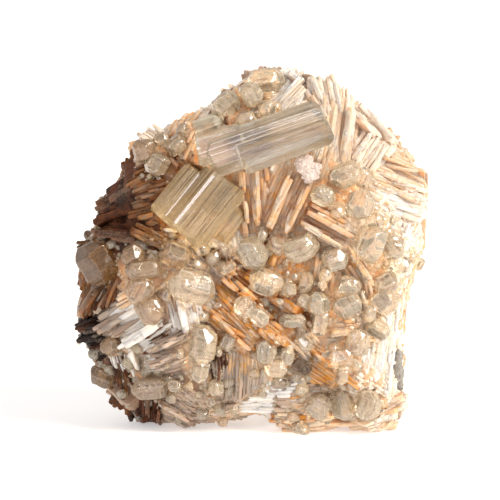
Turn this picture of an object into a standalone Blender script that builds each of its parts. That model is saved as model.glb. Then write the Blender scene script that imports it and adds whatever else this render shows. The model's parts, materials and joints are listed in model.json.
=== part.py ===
"""Cerussite crystals on a matrix of bladed baryte, standing on its trimmed base.

Metres, +Z up. The show face looks towards -Y, and the origin is the middle of the base.
The matrix is a cleaved block with stacks of baryte tablets grown out of it. Each cerussite
crystal, or group of crystals that have grown together, is a solid of its own in a socket.
Places on the show face are given as a viewer sees them, in steps across and down a picture
of the specimen that is PICTURE_HIGH steps high.
"""

import math
import random
from typing import NamedTuple

import bmesh
import bpy
from mathutils import Matrix, Vector, noise
from mathutils.bvhtree import BVHTree

MM = 0.001

# Driving dimensions of the specimen
HEIGHT = 65.7 * MM
PICTURE_HIGH = 365
STEP = HEIGHT / PICTURE_HIGH
PICTURE_MIDDLE = 250.5
PICTURE_BASE = 432.0
VIEW_PITCH = math.radians(8)
FRONT_FOOT_DEPTH = 12.0 * MM

# The matrix
HEART = Vector((0, 0, 33 * MM))
ROUGH_EDGE = 12.0 * MM
SHORTEST_EDGE = 0.5 * MM
ROUGHNESS = 0.9 * MM
ROUGH_GRAIN = 8.0 * MM
TABLET_PITCH = 3.1 * MM
TABLET_THICKNESS = 1.2 * MM
TABLET_ROOT = 3.0 * MM
SEED = 14

# Clearance between a crystal and its socket, and how much crystals swell that have nearly met
GAP = 0.3 * MM
KNIT = 0.06 * MM

TO_VIEWER = Vector((0, -math.cos(VIEW_PITCH), math.sin(VIEW_PITCH)))
PICTURE_UP = Vector((0, math.sin(VIEW_PITCH), math.cos(VIEW_PITCH)))
PICTURE_RIGHT = Vector((1, 0, 0))


class Plane(NamedTuple):
    """A cleavage: where it faces round the outline (0 right, 90 up), how far it turns
    to the viewer, both in degrees, and its distance from the block's heart in mm."""

    around: float
    turn: float
    distance: float


class Stack(NamedTuple):
    """Parallel baryte tablets seen on edge. Places, length and width are in picture steps."""

    name: str
    across: float
    down: float
    angle: float
    length: float
    width: float
    fan: float
    proud: float


class Crystal(NamedTuple):
    """One cerussite crystal: its place, length and width in picture steps, the angle of its
    long axis, and how far its middle stands off the rock in mm."""

    across: float
    down: float
    length: float
    width: float
    angle: float
    stand: float = 1.6


# The outline of the show face, in picture steps, and the rings that the rock is lofted through:
# depth in mm, size against the outline, and how far the ring moves across and up, in mm.
OUTLINE = [
    (265, 70), (300, 76), (329, 84), (346, 98), (372, 116), (400, 144), (411, 160),
    (426, 190), (424, 211), (418, 222), (421, 241), (417, 260), (406, 288), (400, 331),
    (401, 373), (401, 393), (391, 424), (374, 430), (356, 422), (341, 414), (329, 422),
    (306, 430), (286, 427), (272, 413), (257, 414), (214, 424), (161, 424), (138, 422),
    (129, 411), (98, 383), (90, 371), (77, 339), (76, 321), (84, 292), (80, 262),
    (86, 241), (101, 222), (115, 192), (135, 160), (137, 142), (161, 134), (196, 118),
    (223, 98), (251, 75),
]
OUTLINE_MIDDLE = (250, 262)
RINGS = [
    (-16.0, 0.66, 0.6, 1.0),
    (-13.0, 0.86, 0.3, 0.4),
    (-7.0, 0.98, 0.0, 0.0),
    (2.0, 1.0, 0.0, 0.0),
    (10.5, 0.85, 0.8, -0.8),
    (14.5, 0.60, 1.4, -1.5),
]

# Cleavages of the rock's edges, seen from the front and from behind
CLEAVAGES = [
    Plane(30, 46, 25.8),
    Plane(100, 46, 25.6),
    Plane(160, 44, 24.2),
    Plane(215, 48, 25.6),
    Plane(25, -42, 25.6),
    Plane(80, -44, 24.4),
    Plane(145, -46, 21.8),
    Plane(200, -40, 24.6),
    Plane(265, -56, 22.4),
]

# Lumps that stand out of it: each has its middle in mm and its half sizes in mm.
OUTCROPS = {
    "middle_foot": ((9.7, -6.2, 5.0), (6.8, 7.2, 6.5)),
    "right_foot": ((22.0, -7.2, 6.4), (5.5, 6.8, 7.6)),
    "prism_ledge": ((-7.0, -10.0, 42.0), (10.0, 7.0, 8.5)),
    "long_ledge": ((6.0, -8.5, 52.5), (11.0, 7.0, 6.0)),
    "right_ledge": ((19.0, -10.0, 36.5), (8.0, 7.6, 9.0)),
    "left_ledge": ((-19.5, -8.9, 30.3), (7.4, 6.9, 8.8)),
    "low_ledge": ((2.0, -11.0, 21.0), (9.5, 7.2, 7.0)),
}

STACKS = [
    Stack("crown_white", 292, 92, 48, 30, 24, 6, 2.0),
    Stack("crown_tan", 313, 91, 112, 28, 18, 8, 2.2),
    Stack("crown_cream", 331, 97, 100, 32, 20, 4, 2.0),
    Stack("right_peach", 342, 134, 80, 54, 24, 4, 2.6),
    Stack("right_grey", 368, 149, 52, 34, 36, 6, 2.4),
    Stack("shoulder_cream", 372, 124, -46, 44, 18, 0, 1.5),
    Stack("right_fan", 398, 177, -18, 42, 30, 26, 2.2),
    Stack("right_white", 404, 203, -12, 34, 26, 10, 1.8),
    Stack("long_peach", 328, 222, -28, 56, 46, 6, 3.0),
    Stack("steep_amber", 358, 268, -56, 46, 16, 5, 2.6),
    Stack("upright_amber", 322, 282, 82, 40, 16, 5, 2.6),
    Stack("low_amber", 361, 302, -70, 30, 18, 6, 2.2),
    Stack("level_peach", 345, 331, 2, 34, 14, 5, 2.2),
    Stack("hanging_white", 250, 202, 94, 48, 26, 8, 2.8),
    Stack("hanging_amber", 286, 208, 66, 62, 36, 8, 3.0),
    Stack("amber_rib_a", 237, 290, -42, 46, 14, 3, 3.2),
    Stack("amber_rib_b", 272, 300, -32, 48, 14, 3, 3.2),
    Stack("amber_rib_c", 228, 326, -46, 42, 14, 3, 3.0),
    Stack("amber_rib_d", 272, 333, -36, 50, 14, 3, 3.0),
    Stack("amber_rib_e", 333, 366, -38, 48, 14, 3, 2.6),
    Stack("low_white", 239, 381, 88, 42, 24, 3, 2.6),
    Stack("low_umber", 219, 362, 92, 38, 14, 3, 1.6),
    Stack("level_white", 272, 403, 2, 74, 10, 2, 2.2),
    Stack("umber_upper", 118, 205, 18, 50, 40, 10, 1.8),
    Stack("umber_lower", 128, 236, -6, 60, 22, 6, 1.8),
    Stack("rust_slope", 152, 240, -28, 40, 18, 8, 1.6),
    Stack("ash_steep", 92, 300, 56, 42, 24, 8, 2.6),
    Stack("ash_middle", 118, 318, 29, 46, 22, 6, 2.8),
    Stack("ash_low", 120, 332, 32, 46, 12, 4, 2.6),
    Stack("white_blade", 142, 333, 32, 44, 10, 2, 4.0),
    Stack("dark_corner", 86, 338, 20, 26, 22, 10, 1.6),
    Stack("upright_white", 184, 315, 104, 26, 14, 4, 3.0),
    Stack("grey_comb", 172, 346, 27, 38, 26, 8, 2.8),
    Stack("grey_comb_low", 171, 361, 18, 32, 12, 4, 2.4),
    Stack("toe_upright", 125, 386, 101, 48, 24, 6, 2.4),
    Stack("toe_slant", 176, 408, -28, 38, 22, 6, 2.2),
    Stack("toe_brown", 148, 413, 85, 20, 22, 8, 1.8),
    Stack("amber_spur", 188, 138, 68, 28, 12, 4, 3.0),
    Stack("rust_wedge", 171, 163, -42, 24, 14, 4, 2.4),
    Stack("right_white_low", 400, 238, 70, 34, 24, 10, 1.4),
    Stack("right_edge", 394, 314, 84, 40, 18, 6, 1.4),
    Stack("foot_white", 385, 372, 82, 50, 22, 6, 1.8),
    Stack("foot_cream", 383, 412, 20, 30, 20, 10, 1.6),
]

# Stacks of the sides and the back, which grow out along their own direction: where they face
# round the outline, their turn to the viewer, the slant of the tablets, length and width in mm.
HIDDEN_STACKS = [
    (5, -62, 70, 13, 8),
    (40, -55, 20, 12, 9),
    (95, -50, -35, 14, 8),
    (150, -58, 50, 12, 9),
    (200, -50, -15, 13, 8),
    (300, -66, 35, 12, 8),
    (350, -36, -60, 12, 7),
    (20, -84, -20, 14, 9),
    (140, -80, 80, 13, 8),
    (240, -76, 10, 12, 8),
    (60, -14, 60, 10, 7),
    (110, -12, 10, 10, 7),
    (170, -20, -70, 11, 7),
    (0, -10, 25, 11, 7),
]

CRYSTALS = [
    Crystal(146, 153, 23, 19, 100),
    Crystal(159, 166, 22, 20, 60),
    Crystal(163, 141, 15, 12, 20),
    Crystal(177, 147, 21, 17, 40),
    Crystal(184, 132, 13, 11, 70, 1.0),
    Crystal(226, 108, 28, 22, 40),
    Crystal(265, 83, 36, 23, 6),
    Crystal(252, 97, 23, 19, 120),
    Crystal(267, 112, 17, 17, 90, 2.2),
    Crystal(246, 121, 19, 14, 20),
    Crystal(252, 254, 30, 26, 120, 2.4),
    Crystal(262, 236, 12, 9, 70),
    Crystal(276, 246, 17, 15, 150),
    Crystal(300, 247, 32, 24, 20, 2.2),
    Crystal(333, 259, 25, 20, 15, 2.8),
    Crystal(266, 281, 32, 23, -20, 2.4),
    Crystal(288, 289, 14, 13, 90),
    Crystal(245, 306, 21, 17, -40, 2.2),
    Crystal(259, 316, 19, 15, -40, 2.2),
    Crystal(193, 285, 44, 30, -15, 2.6),
    Crystal(178, 254, 25, 21, -20, 1.8),
    Crystal(135, 256, 21, 19, 30),
    Crystal(101, 262, 42, 36, -60, 2.0),
    Crystal(91, 236, 13, 9, -20),
    Crystal(146, 269, 36, 17, 8, 2.2),
    Crystal(141, 290, 27, 23, 60, 2.0),
    Crystal(152, 309, 28, 24, -60, 2.2),
    Crystal(112, 345, 19, 17, 45, 2.2),
    Crystal(103, 376, 25, 18, -25),
    Crystal(203, 343, 38, 24, 80, 2.4),
    Crystal(201, 369, 23, 15, 80, 2.0),
    Crystal(151, 387, 38, 19, 5, 2.2),
    Crystal(175, 384, 14, 11, 0, 2.0),
    Crystal(216, 386, 15, 14, 90),
    Crystal(228, 341, 17, 13, 60),
    Crystal(266, 351, 23, 19, 80, 2.0),
    Crystal(275, 366, 21, 17, 0, 2.2),
    Crystal(286, 355, 17, 13, 75),
    Crystal(317, 303, 23, 19, 90, 2.0),
    Crystal(319, 322, 25, 14, 80, 2.2),
    Crystal(292, 319, 27, 13, 0),
    Crystal(305, 281, 19, 12, 75),
    Crystal(303, 300, 14, 12, 45),
    Crystal(348, 285, 21, 16, -20, 2.4),
    Crystal(345, 304, 28, 21, 30, 1.8),
    Crystal(358, 205, 28, 24, 70, 2.4),
    Crystal(344, 176, 28, 23, 20, 2.0),
    Crystal(361, 179, 19, 17, 60),
    Crystal(322, 197, 23, 19, -30, 2.2),
    Crystal(371, 221, 19, 13, 10),
    Crystal(367, 243, 34, 28, 70, 2.4),
    Crystal(390, 247, 25, 21, -60),
    Crystal(397, 264, 21, 17, 0),
    Crystal(384, 283, 23, 21, 30, 2.0),
    Crystal(381, 302, 27, 23, 40),
    Crystal(419, 264, 13, 9, 60, 1.0),
    Crystal(356, 341, 25, 21, 80, 2.2),
    Crystal(340, 356, 23, 19, 10, 2.2),
    Crystal(341, 402, 32, 21, -75, 2.0),
    Crystal(318, 404, 23, 21, 60),
    Crystal(367, 403, 27, 23, 70, 1.4),
    Crystal(229, 268, 15, 8, 40),
    Crystal(303, 341, 19, 13, -50, 2.0),
    Crystal(376, 328, 23, 17, -30),
]

# The two large prisms, as the parallel prisms that each has grown together from
STRIATED_PRISM = [
    Crystal(206, 208, 70, 46, 51, 2.9),
    Crystal(184, 198, 60, 34, 51, 1.4),
]
LONG_PRISM = [
    Crystal(266, 141, 122, 38, 19, 1.8),
    Crystal(285, 146, 92, 28, 20, 3.6),
    Crystal(222, 148, 48, 32, 12, 1.7),
]
# Small crystals that have grown onto them
STRIATED_PRISM_SMALL = [
    Crystal(227, 223, 38, 24, 58, 2.2),
]
LONG_PRISM_SMALL = [Crystal(211, 131, 26, 22, 24, 2.0)]

# The white crust of small crystals, and the grey lead ore, as blocks in picture steps
WHITE_CRUST = [
    Crystal(303, 164, 17, 13, 20, 2.0),
    Crystal(306, 174, 18, 13, 120, 2.0),
    Crystal(313, 172, 14, 11, 70, 1.8),
]
ORE_STREAK = [
    Crystal(396, 368, 46, 13, 90, -0.2),
]
ORE_GRAIN = [Crystal(302, 363, 18, 10, -40, 2.2)]


def clear_scene():
    """Removes every object, so that the file holds the specimen alone."""
    for obj in list(bpy.data.objects):
        bpy.data.objects.remove(obj)


def new_collection(name):
    collection = bpy.data.collections.new(name)
    bpy.context.scene.collection.children.link(collection)
    return collection


def new_object(name, bm, collection, material=None, cutter=False):
    """Turns a bmesh into an object, and frees the bmesh."""
    bmesh.ops.recalc_face_normals(bm, faces=bm.faces)
    mesh = bpy.data.meshes.new(name)
    bm.to_mesh(mesh)
    bm.free()
    obj = bpy.data.objects.new(name, mesh)
    collection.objects.link(obj)
    if material:
        mesh.materials.append(material)
    if cutter:
        obj.hide_render = True
        obj.display_type = "WIRE"
    return obj


def mineral(name, colour, roughness, metallic=0.0, transmission=0.0):
    """A Principled material in the mineral's own colour."""
    material = bpy.data.materials.new(name)
    material.use_nodes = True
    shader = material.node_tree.nodes["Principled BSDF"]
    shader.inputs["Base Color"].default_value = (*colour, 1)
    shader.inputs["Roughness"].default_value = roughness
    shader.inputs["Metallic"].default_value = metallic
    shader.inputs["Transmission Weight"].default_value = transmission
    material.diffuse_color = (*colour, 1)
    return material


def cleave(bm, point, normal):
    """Splits off everything on the outer side of a plane, and closes the flat face."""
    cut = bmesh.ops.bisect_plane(
        bm,
        geom=bm.verts[:] + bm.edges[:] + bm.faces[:],
        plane_co=point,
        plane_no=normal,
        dist=1e-7,
        clear_outer=True,
    )
    edges = [e for e in cut["geom_cut"] if isinstance(e, bmesh.types.BMEdge)]
    if edges:
        bmesh.ops.holes_fill(bm, edges=edges)


def block(half_size):
    """A cube to cleave, with the given half size."""
    bm = bmesh.new()
    bmesh.ops.create_cube(bm, size=2 * half_size)
    return bm


def plane_normal(plane):
    around, turn = math.radians(plane.around), math.radians(plane.turn)
    return Vector(
        (
            math.cos(around) * math.cos(turn),
            -math.sin(turn),
            math.sin(around) * math.cos(turn),
        )
    )


def roughen(bm, longest, amount):
    """Breaks long edges up, then moves the points in and out, apart from those of the base."""
    bmesh.ops.remove_doubles(bm, verts=bm.verts, dist=SHORTEST_EDGE)
    bmesh.ops.triangulate(bm, faces=bm.faces)
    for _ in range(4):
        long_edges = [e for e in bm.edges if e.calc_length() > longest]
        if not long_edges:
            break
        bmesh.ops.subdivide_edges(bm, edges=long_edges, cuts=1)
        bmesh.ops.triangulate(bm, faces=bm.faces)
    bm.normal_update()
    moves = []
    for vert in bm.verts:
        lift = noise.noise(vert.co / ROUGH_GRAIN) * amount
        moves.append((vert, vert.normal * lift))
    for vert, move in moves:
        if vert.co.z > 0.5 * MM:
            vert.co += move


def main_block():
    """The block of rock that everything else grows from: the outline lofted through the rings,
    cleaved along its edges and trimmed flat below."""
    bm = bmesh.new()
    rings = []
    for depth, size, move_across, move_up in RINGS:
        ring = []
        for across, down in OUTLINE:
            right = (OUTLINE_MIDDLE[0] + (across - OUTLINE_MIDDLE[0]) * size - PICTURE_MIDDLE) * STEP
            low = OUTLINE_MIDDLE[1] + (down - OUTLINE_MIDDLE[1]) * size
            up = picture_height(low) + move_up * MM
            rise = (up - depth * MM * math.sin(VIEW_PITCH)) / math.cos(VIEW_PITCH)
            ring.append(bm.verts.new((right + move_across * MM, depth * MM, rise)))
        rings.append(ring)
    for near, far in zip(rings, rings[1:]):
        for index in range(len(near)):
            after = (index + 1) % len(near)
            bm.faces.new((near[index], near[after], far[after], far[index]))
    bm.faces.new(rings[0])
    bm.faces.new(rings[-1])
    bmesh.ops.recalc_face_normals(bm, faces=bm.faces)
    bmesh.ops.triangulate(bm, faces=bm.faces)
    for plane in CLEAVAGES:
        normal = plane_normal(plane)
        cleave(bm, HEART + normal * plane.distance * MM, normal)
    cleave(bm, Vector((0, 0, 0)), Vector((0, 0, -1)))
    roughen(bm, ROUGH_EDGE, ROUGHNESS)
    return bm


def outcrop(middle, half_sizes):
    """A rounded lump with these half sizes."""
    bm = bmesh.new()
    bmesh.ops.create_icosphere(bm, subdivisions=2, radius=1)
    bm.transform(Matrix.Rotation(0.4, 4, (1, 2, 1)))
    for vert in bm.verts:
        vert.co = Vector(m + c * h for m, c, h in zip(middle, vert.co, half_sizes)) * MM
    cleave(bm, Vector((0, 0, 0)), Vector((0, 0, -1)))
    roughen(bm, ROUGH_EDGE, 0.5 * MM)
    return bm


def picture_height(down):
    """How far above the origin, in the picture plane, a point this many steps down lies."""
    return (PICTURE_BASE - down) * STEP - FRONT_FOOT_DEPTH * math.sin(VIEW_PITCH)


def picture_point(across, down):
    """A point in the picture plane through the origin, for steps across and down."""
    right = (across - PICTURE_MIDDLE) * STEP
    return PICTURE_RIGHT * right + PICTURE_UP * picture_height(down)


def rock_under(rock, across, down):
    """Where a line of sight meets the rock: the point and the rock's outward normal. A line
    that misses meets the nearest rock beside it."""
    start = picture_point(across, down) + TO_VIEWER * 100 * MM
    hit, normal, _, _ = rock.ray_cast(start, -TO_VIEWER)
    if hit is None:
        hit, normal, _, _ = rock.find_nearest(picture_point(across, down))
    return hit, normal


def axes_on_rock(normal, angle, facing):
    """Right-handed axes for something that lies on the rock: along its length, across it,
    and up off the rock. The up axis turns from the rock's normal to the viewer by facing."""
    slant = math.radians(angle)
    length_way = PICTURE_RIGHT * math.cos(slant) + PICTURE_UP * math.sin(slant)
    up = (normal * (1 - facing) + TO_VIEWER * facing).normalized()
    along = (length_way - up * length_way.dot(up)).normalized()
    return along, up.cross(along), up


def frame_matrix(along, aside, up, origin):
    axes = Matrix((along, aside, up)).transposed().to_4x4()
    return Matrix.Translation(origin) @ axes


def tablet(length, thickness, height, dice):
    """One baryte tablet: long, thin and high, with uneven ends and a narrower crest."""
    bm = bmesh.new()
    bmesh.ops.create_cube(bm, size=1)
    for vert in bm.verts:
        crest = vert.co.z > 0
        pull = dice.uniform(0.72, 0.95) if crest else dice.uniform(0.9, 1.0)
        vert.co.x *= length * pull
        vert.co.y *= thickness * (0.55 if crest else 1.0)
        vert.co.z *= height * (dice.uniform(0.9, 1.1) if crest else 1.0)
    return bm


def stack_tablets(stack, rock, dice):
    """The tablets of one stack of the show face, each as a bmesh in place."""
    count = max(1, round(stack.width * STEP / TABLET_PITCH))
    slant = math.radians(stack.angle)
    for index in range(count):
        share = (index + 0.5) / count - 0.5
        off = share * stack.width
        across = stack.across - off * math.sin(slant)
        down = stack.down - off * math.cos(slant)
        hit, normal = rock_under(rock, across, down)
        axes = axes_on_rock(normal, stack.angle + stack.fan * share, 0.6)
        proud = stack.proud * MM * dice.uniform(0.8, 1.1)
        height = proud + TABLET_ROOT
        bm = tablet(
            stack.length * STEP * dice.uniform(0.8, 1.0), TABLET_THICKNESS, height, dice
        )
        middle = hit + axes[2] * (proud - height / 2)
        bm.transform(frame_matrix(*axes, middle))
        yield bm


def hidden_tablets(stack, rock, dice):
    """The tablets of one stack of the sides or the back, each as a bmesh in place."""
    around, turn, slant, length, width = stack
    out = plane_normal(Plane(around, turn, 0))
    side = out.cross(Vector((0, 0, 1))).normalized()
    rise = side.cross(out)
    slant = math.radians(slant)
    along = side * math.cos(slant) + rise * math.sin(slant)
    aside = out.cross(along)
    count = round(width * MM / (TABLET_PITCH * 1.5))
    for index in range(count):
        off = ((index + 0.5) / count - 0.5) * width * MM
        start = HEART + out * 80 * MM + aside * off
        hit, _, _, _ = rock.ray_cast(start, -out)
        if hit is None:
            continue
        proud = 1.5 * MM * dice.uniform(0.7, 1.3)
        height = proud + TABLET_ROOT
        bm = tablet(length * MM * dice.uniform(0.75, 1.0), TABLET_THICKNESS * 1.2, height, dice)
        bm.transform(frame_matrix(along, aside, out, hit + out * (proud - height / 2)))
        yield bm


def cerussite(length, width, seed, grow=0.0, blunt=False):
    """A pseudo-hexagonal crystal along X, cleaved from a block. Each face stands at its own
    distance, which grow moves outwards by the same amount on every face. A blunt one is a
    plain six-sided prism that holds the crystal."""
    dice = random.Random(seed)
    bm = block(length)
    for step in range(6):
        turn = math.radians(60 * step + 14)
        normal = Vector((0, math.cos(turn), math.sin(turn)))
        cleave(bm, normal * (width / 2 * dice.uniform(0.86, 1.0) + grow), normal)
    for end in (-1, 1):
        slanting = () if blunt else (0, 2, 4) if end > 0 else (1,)
        for step in slanting:
            turn = math.radians(60 * step + 14 + dice.uniform(-8, 8))
            lean = math.radians(dice.uniform(36, 54))
            normal = Vector(
                (
                    end * math.sin(lean),
                    math.cos(lean) * math.cos(turn),
                    math.cos(lean) * math.sin(turn),
                )
            )
            reach = math.sin(lean) * length / 2 + math.cos(lean) * width / 2
            cleave(bm, normal * (reach * dice.uniform(0.70, 0.84) + grow), normal)
        cap = Vector((end, 0, 0))
        cleave(bm, cap * (length / 2 * (1 if blunt else dice.uniform(0.92, 1.0)) + grow), cap)
    return bm


def prism(length, width, seed, grow=0.0):
    """A long prism along X with a broad front, and low slanting faces at its ends."""
    dice = random.Random(seed)
    bm = block(length)
    for turn, share in ((90, 0.42), (270, 0.5), (28, 0.48), (152, 0.46), (208, 0.5), (332, 0.5)):
        normal = Vector((0, math.cos(math.radians(turn)), math.sin(math.radians(turn))))
        cleave(bm, normal * (width * share + grow), normal)
    for end in (-1, 1):
        cap = Vector((end, 0.06, 0.05)).normalized()
        cleave(bm, cap * (length / 2 + grow), cap)
        for turn in (20, 110, 200, 290):
            lean = math.radians(dice.uniform(46, 58))
            normal = Vector(
                (
                    end * math.sin(lean),
                    math.cos(lean) * math.cos(math.radians(turn)),
                    math.cos(lean) * math.sin(math.radians(turn)),
                )
            )
            reach = math.sin(lean) * length / 2 + math.cos(lean) * width / 2
            cleave(bm, normal * (reach * dice.uniform(0.88, 0.94) + grow), normal)
    return bm


def place_crystal(crystal, rock, seed, shape=cerussite, grow=0.0, **extra):
    """One crystal as a bmesh where it stands on the rock, grown outwards by grow."""
    hit, normal = rock_under(rock, crystal.across, crystal.down)
    lean = random.Random(seed).uniform(-14, 14)
    axes = axes_on_rock(normal, crystal.angle, 0.8)
    bm = shape(crystal.length * STEP, crystal.width * STEP, seed, grow, **extra)
    spin = Matrix.Rotation(math.radians(lean), 4, "Y")
    if shape is prism:
        spin = Matrix.Identity(4)
    place = frame_matrix(*axes, hit + axes[2] * crystal.stand * MM)
    bm.transform(place @ spin)
    cleave(bm, Vector((0, 0, 0.2 * MM)), Vector((0, 0, -1)))
    return bm


def touches(first, second):
    """Whether two closed convex shapes meet: their faces cross, or one holds the other."""
    tree_a, tree_b = BVHTree.FromBMesh(first), BVHTree.FromBMesh(second)
    if tree_a.overlap(tree_b):
        return True
    for tree, other in ((tree_a, second), (tree_b, first)):
        other.verts.ensure_lookup_table()
        point = other.verts[0].co
        near, normal, _, _ = tree.find_nearest(point)
        if (point - near).dot(normal) < 0:
            return True
    return False


def grown_together(shapes):
    """Sorts the numbers of the shapes into groups that touch one another."""
    groups = []
    for index in range(len(shapes)):
        joined = [g for g in groups if any(touches(shapes[index], shapes[i]) for i in g)]
        merged = [index] + [i for g in joined for i in g]
        groups = [g for g in groups if g not in joined] + [sorted(merged)]
    return sorted(groups)


def applied(obj, collection):
    """The object as its modifiers leave it, as a plain mesh object of the same name."""
    graph = bpy.context.evaluated_depsgraph_get()
    mesh = bpy.data.meshes.new_from_object(obj.evaluated_get(graph))
    name = obj.name
    bpy.data.objects.remove(obj)
    result = bpy.data.objects.new(name, mesh)
    collection.objects.link(result)
    return result


def add_boolean(obj, operation, collection):
    modifier = obj.modifiers.new(operation.title(), "BOOLEAN")
    modifier.operation = operation
    modifier.operand_type = "COLLECTION"
    modifier.collection = collection
    modifier.solver = "EXACT"


def keep_main_body(obj):
    """Deletes the chips that the sockets have cut free of the rock, keeping its main body."""
    bm = bmesh.new()
    bm.from_mesh(obj.data)
    unseen, islands = set(bm.verts), []
    while unseen:
        front, island = [unseen.pop()], set()
        while front:
            vert = front.pop()
            island.add(vert)
            for edge in vert.link_edges:
                other = edge.other_vert(vert)
                if other in unseen:
                    unseen.discard(other)
                    front.append(other)
        islands.append(island)
    islands.sort(key=len)
    for island in islands[:-1]:
        bmesh.ops.delete(bm, geom=list(island), context="VERTS")
    bmesh.ops.triangulate(bm, faces=bm.faces)
    bm.to_mesh(obj.data)
    bm.free()


def join_solids(name, shapes, collection, helpers, material):
    """One solid from shapes that overlap."""
    if len(shapes) == 1:
        return new_object(name, shapes[0], collection, material)
    obj = new_object(name, shapes[0], collection, material)
    others = bpy.data.collections.new(name + "_others")
    helpers.children.link(others)
    for index, shape in enumerate(shapes[1:]):
        new_object(f"{name}_other_{index}", shape, others, material, cutter=True)
    add_boolean(obj, "UNION", others)
    result = applied(obj, collection)
    for other in list(others.objects):
        bpy.data.objects.remove(other)
    return result


def stand_over_origin(collection):
    """Moves the specimen sideways so that the origin is the middle of its base."""
    corners = [v.co for obj in collection.objects for v in obj.data.vertices]
    middle = [
        (min(c[axis] for c in corners) + max(c[axis] for c in corners)) / 2 for axis in (0, 1)
    ]
    for obj in collection.objects:
        obj.data.transform(Matrix.Translation((-middle[0], -middle[1], 0)))


def build():
    clear_scene()
    specimen = new_collection("cerussite_specimen")
    helpers = new_collection("helpers")
    growth = bpy.data.collections.new("growth")
    sockets = bpy.data.collections.new("sockets")
    neighbours = bpy.data.collections.new("neighbours")
    for collection in (growth, sockets, neighbours):
        helpers.children.link(collection)

    baryte = mineral("baryte", (0.80, 0.68, 0.53), 0.55)
    glassy = mineral("cerussite", (0.93, 0.90, 0.80), 0.08, transmission=0.9)
    sugary = mineral("white_crust", (0.93, 0.91, 0.88), 0.4)
    ore = mineral("lead_ore", (0.20, 0.21, 0.21), 0.35, metallic=0.8)

    dice = random.Random(SEED)
    core = main_block()
    matrix = new_object("baryte_matrix", core, specimen, baryte)
    for name, (middle, half_sizes) in OUTCROPS.items():
        new_object(name, outcrop(middle, half_sizes), growth, cutter=True)
    add_boolean(matrix, "UNION", growth)
    matrix = applied(matrix, specimen)
    for obj in list(growth.objects):
        bpy.data.objects.remove(obj)

    bm = bmesh.new()
    bm.from_mesh(matrix.data)
    rock = BVHTree.FromBMesh(bm)
    bm.free()

    tablets = [t for s in STACKS for t in stack_tablets(s, rock, dice)]
    tablets += [t for s in HIDDEN_STACKS for t in hidden_tablets(s, rock, dice)]
    for index, shape in enumerate(tablets):
        new_object(f"tablet_{index}", shape, growth, cutter=True)

    def at(crystals, first_seed, grow, shape=cerussite, **extra):
        return [
            place_crystal(c, rock, first_seed + i, shape, grow, **extra)
            for i, c in enumerate(crystals)
        ]

    families = [
        ("white_crust", WHITE_CRUST, 540, cerussite, sugary),
        ("ore_streak", ORE_STREAK, 560, cerussite, ore),
        ("ore_grain", ORE_GRAIN, 580, cerussite, ore),
    ]
    taken = []
    for name, crystals, seed, small in (
        ("long_prism", LONG_PRISM, 520, LONG_PRISM_SMALL),
        ("striated_prism", STRIATED_PRISM, 500, STRIATED_PRISM_SMALL),
    ):
        shapes = at(crystals, seed, 0, prism) + at(small, seed + 10, KNIT)
        solid = join_solids(name, shapes, specimen, helpers, glassy)
        if taken:
            for index, shape in enumerate(taken):
                new_object(f"neighbour_{index}", shape.copy(), neighbours, cutter=True)
            add_boolean(solid, "DIFFERENCE", neighbours)
            applied(solid, specimen)
        taken += at(crystals, seed, GAP, prism) + at(small, seed + 10, KNIT + GAP)
    for name, crystals, seed, shape, material in families:
        join_solids(name, at(crystals, seed, 0, shape), specimen, helpers, material)
        taken += at(crystals, seed, GAP, shape)

    groups = grown_together(at(CRYSTALS, 100, KNIT))
    for number, group in enumerate(groups, 1):
        knit = KNIT if len(group) > 1 else 0
        shapes = [place_crystal(CRYSTALS[i], rock, 100 + i, cerussite, knit) for i in group]
        join_solids(f"cerussite_{number:02d}", shapes, specimen, helpers, glassy)

    pockets = taken + at(CRYSTALS, 100, KNIT + GAP, blunt=True)
    for index, shape in enumerate(pockets):
        new_object(f"socket_{index}", shape, sockets, cutter=True)
    floor = bmesh.new()
    bmesh.ops.create_cube(floor, size=200 * MM, matrix=Matrix.Translation((0, 0, -100 * MM)))
    new_object("socket_floor", floor, sockets, cutter=True)

    add_boolean(matrix, "UNION", growth)
    add_boolean(matrix, "DIFFERENCE", sockets)
    matrix = applied(matrix, specimen)
    keep_main_body(matrix)
    for collection in (growth, sockets, neighbours):
        for obj in list(collection.objects):
            bpy.data.objects.remove(obj)
    stand_over_origin(specimen)


build()
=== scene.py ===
"""Dresses the cerussite specimen: bladed baryte, clear crystals, white crust and lead ore.

Lengths are in metres. Places on the show face are given in picture steps, across and down,
as in the source of the solids.
"""

import json
import logging
import math
import random
from dataclasses import dataclass, field
from enum import Enum
from functools import cache, partial
from typing import Callable, Iterable, Iterator, NamedTuple, Optional, Sequence

import bmesh
import bpy
import numpy as np
from bmesh.types import BMEdge, BMesh, BMFace, BMVert
from bpy.types import ID, Collection, Material, Mesh, Node, NodeOutputs, NodeSocket, NodeTree, Object
from mathutils import Euler, Matrix, Quaternion, Vector, noise
from mathutils.bvhtree import BVHTree

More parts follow.
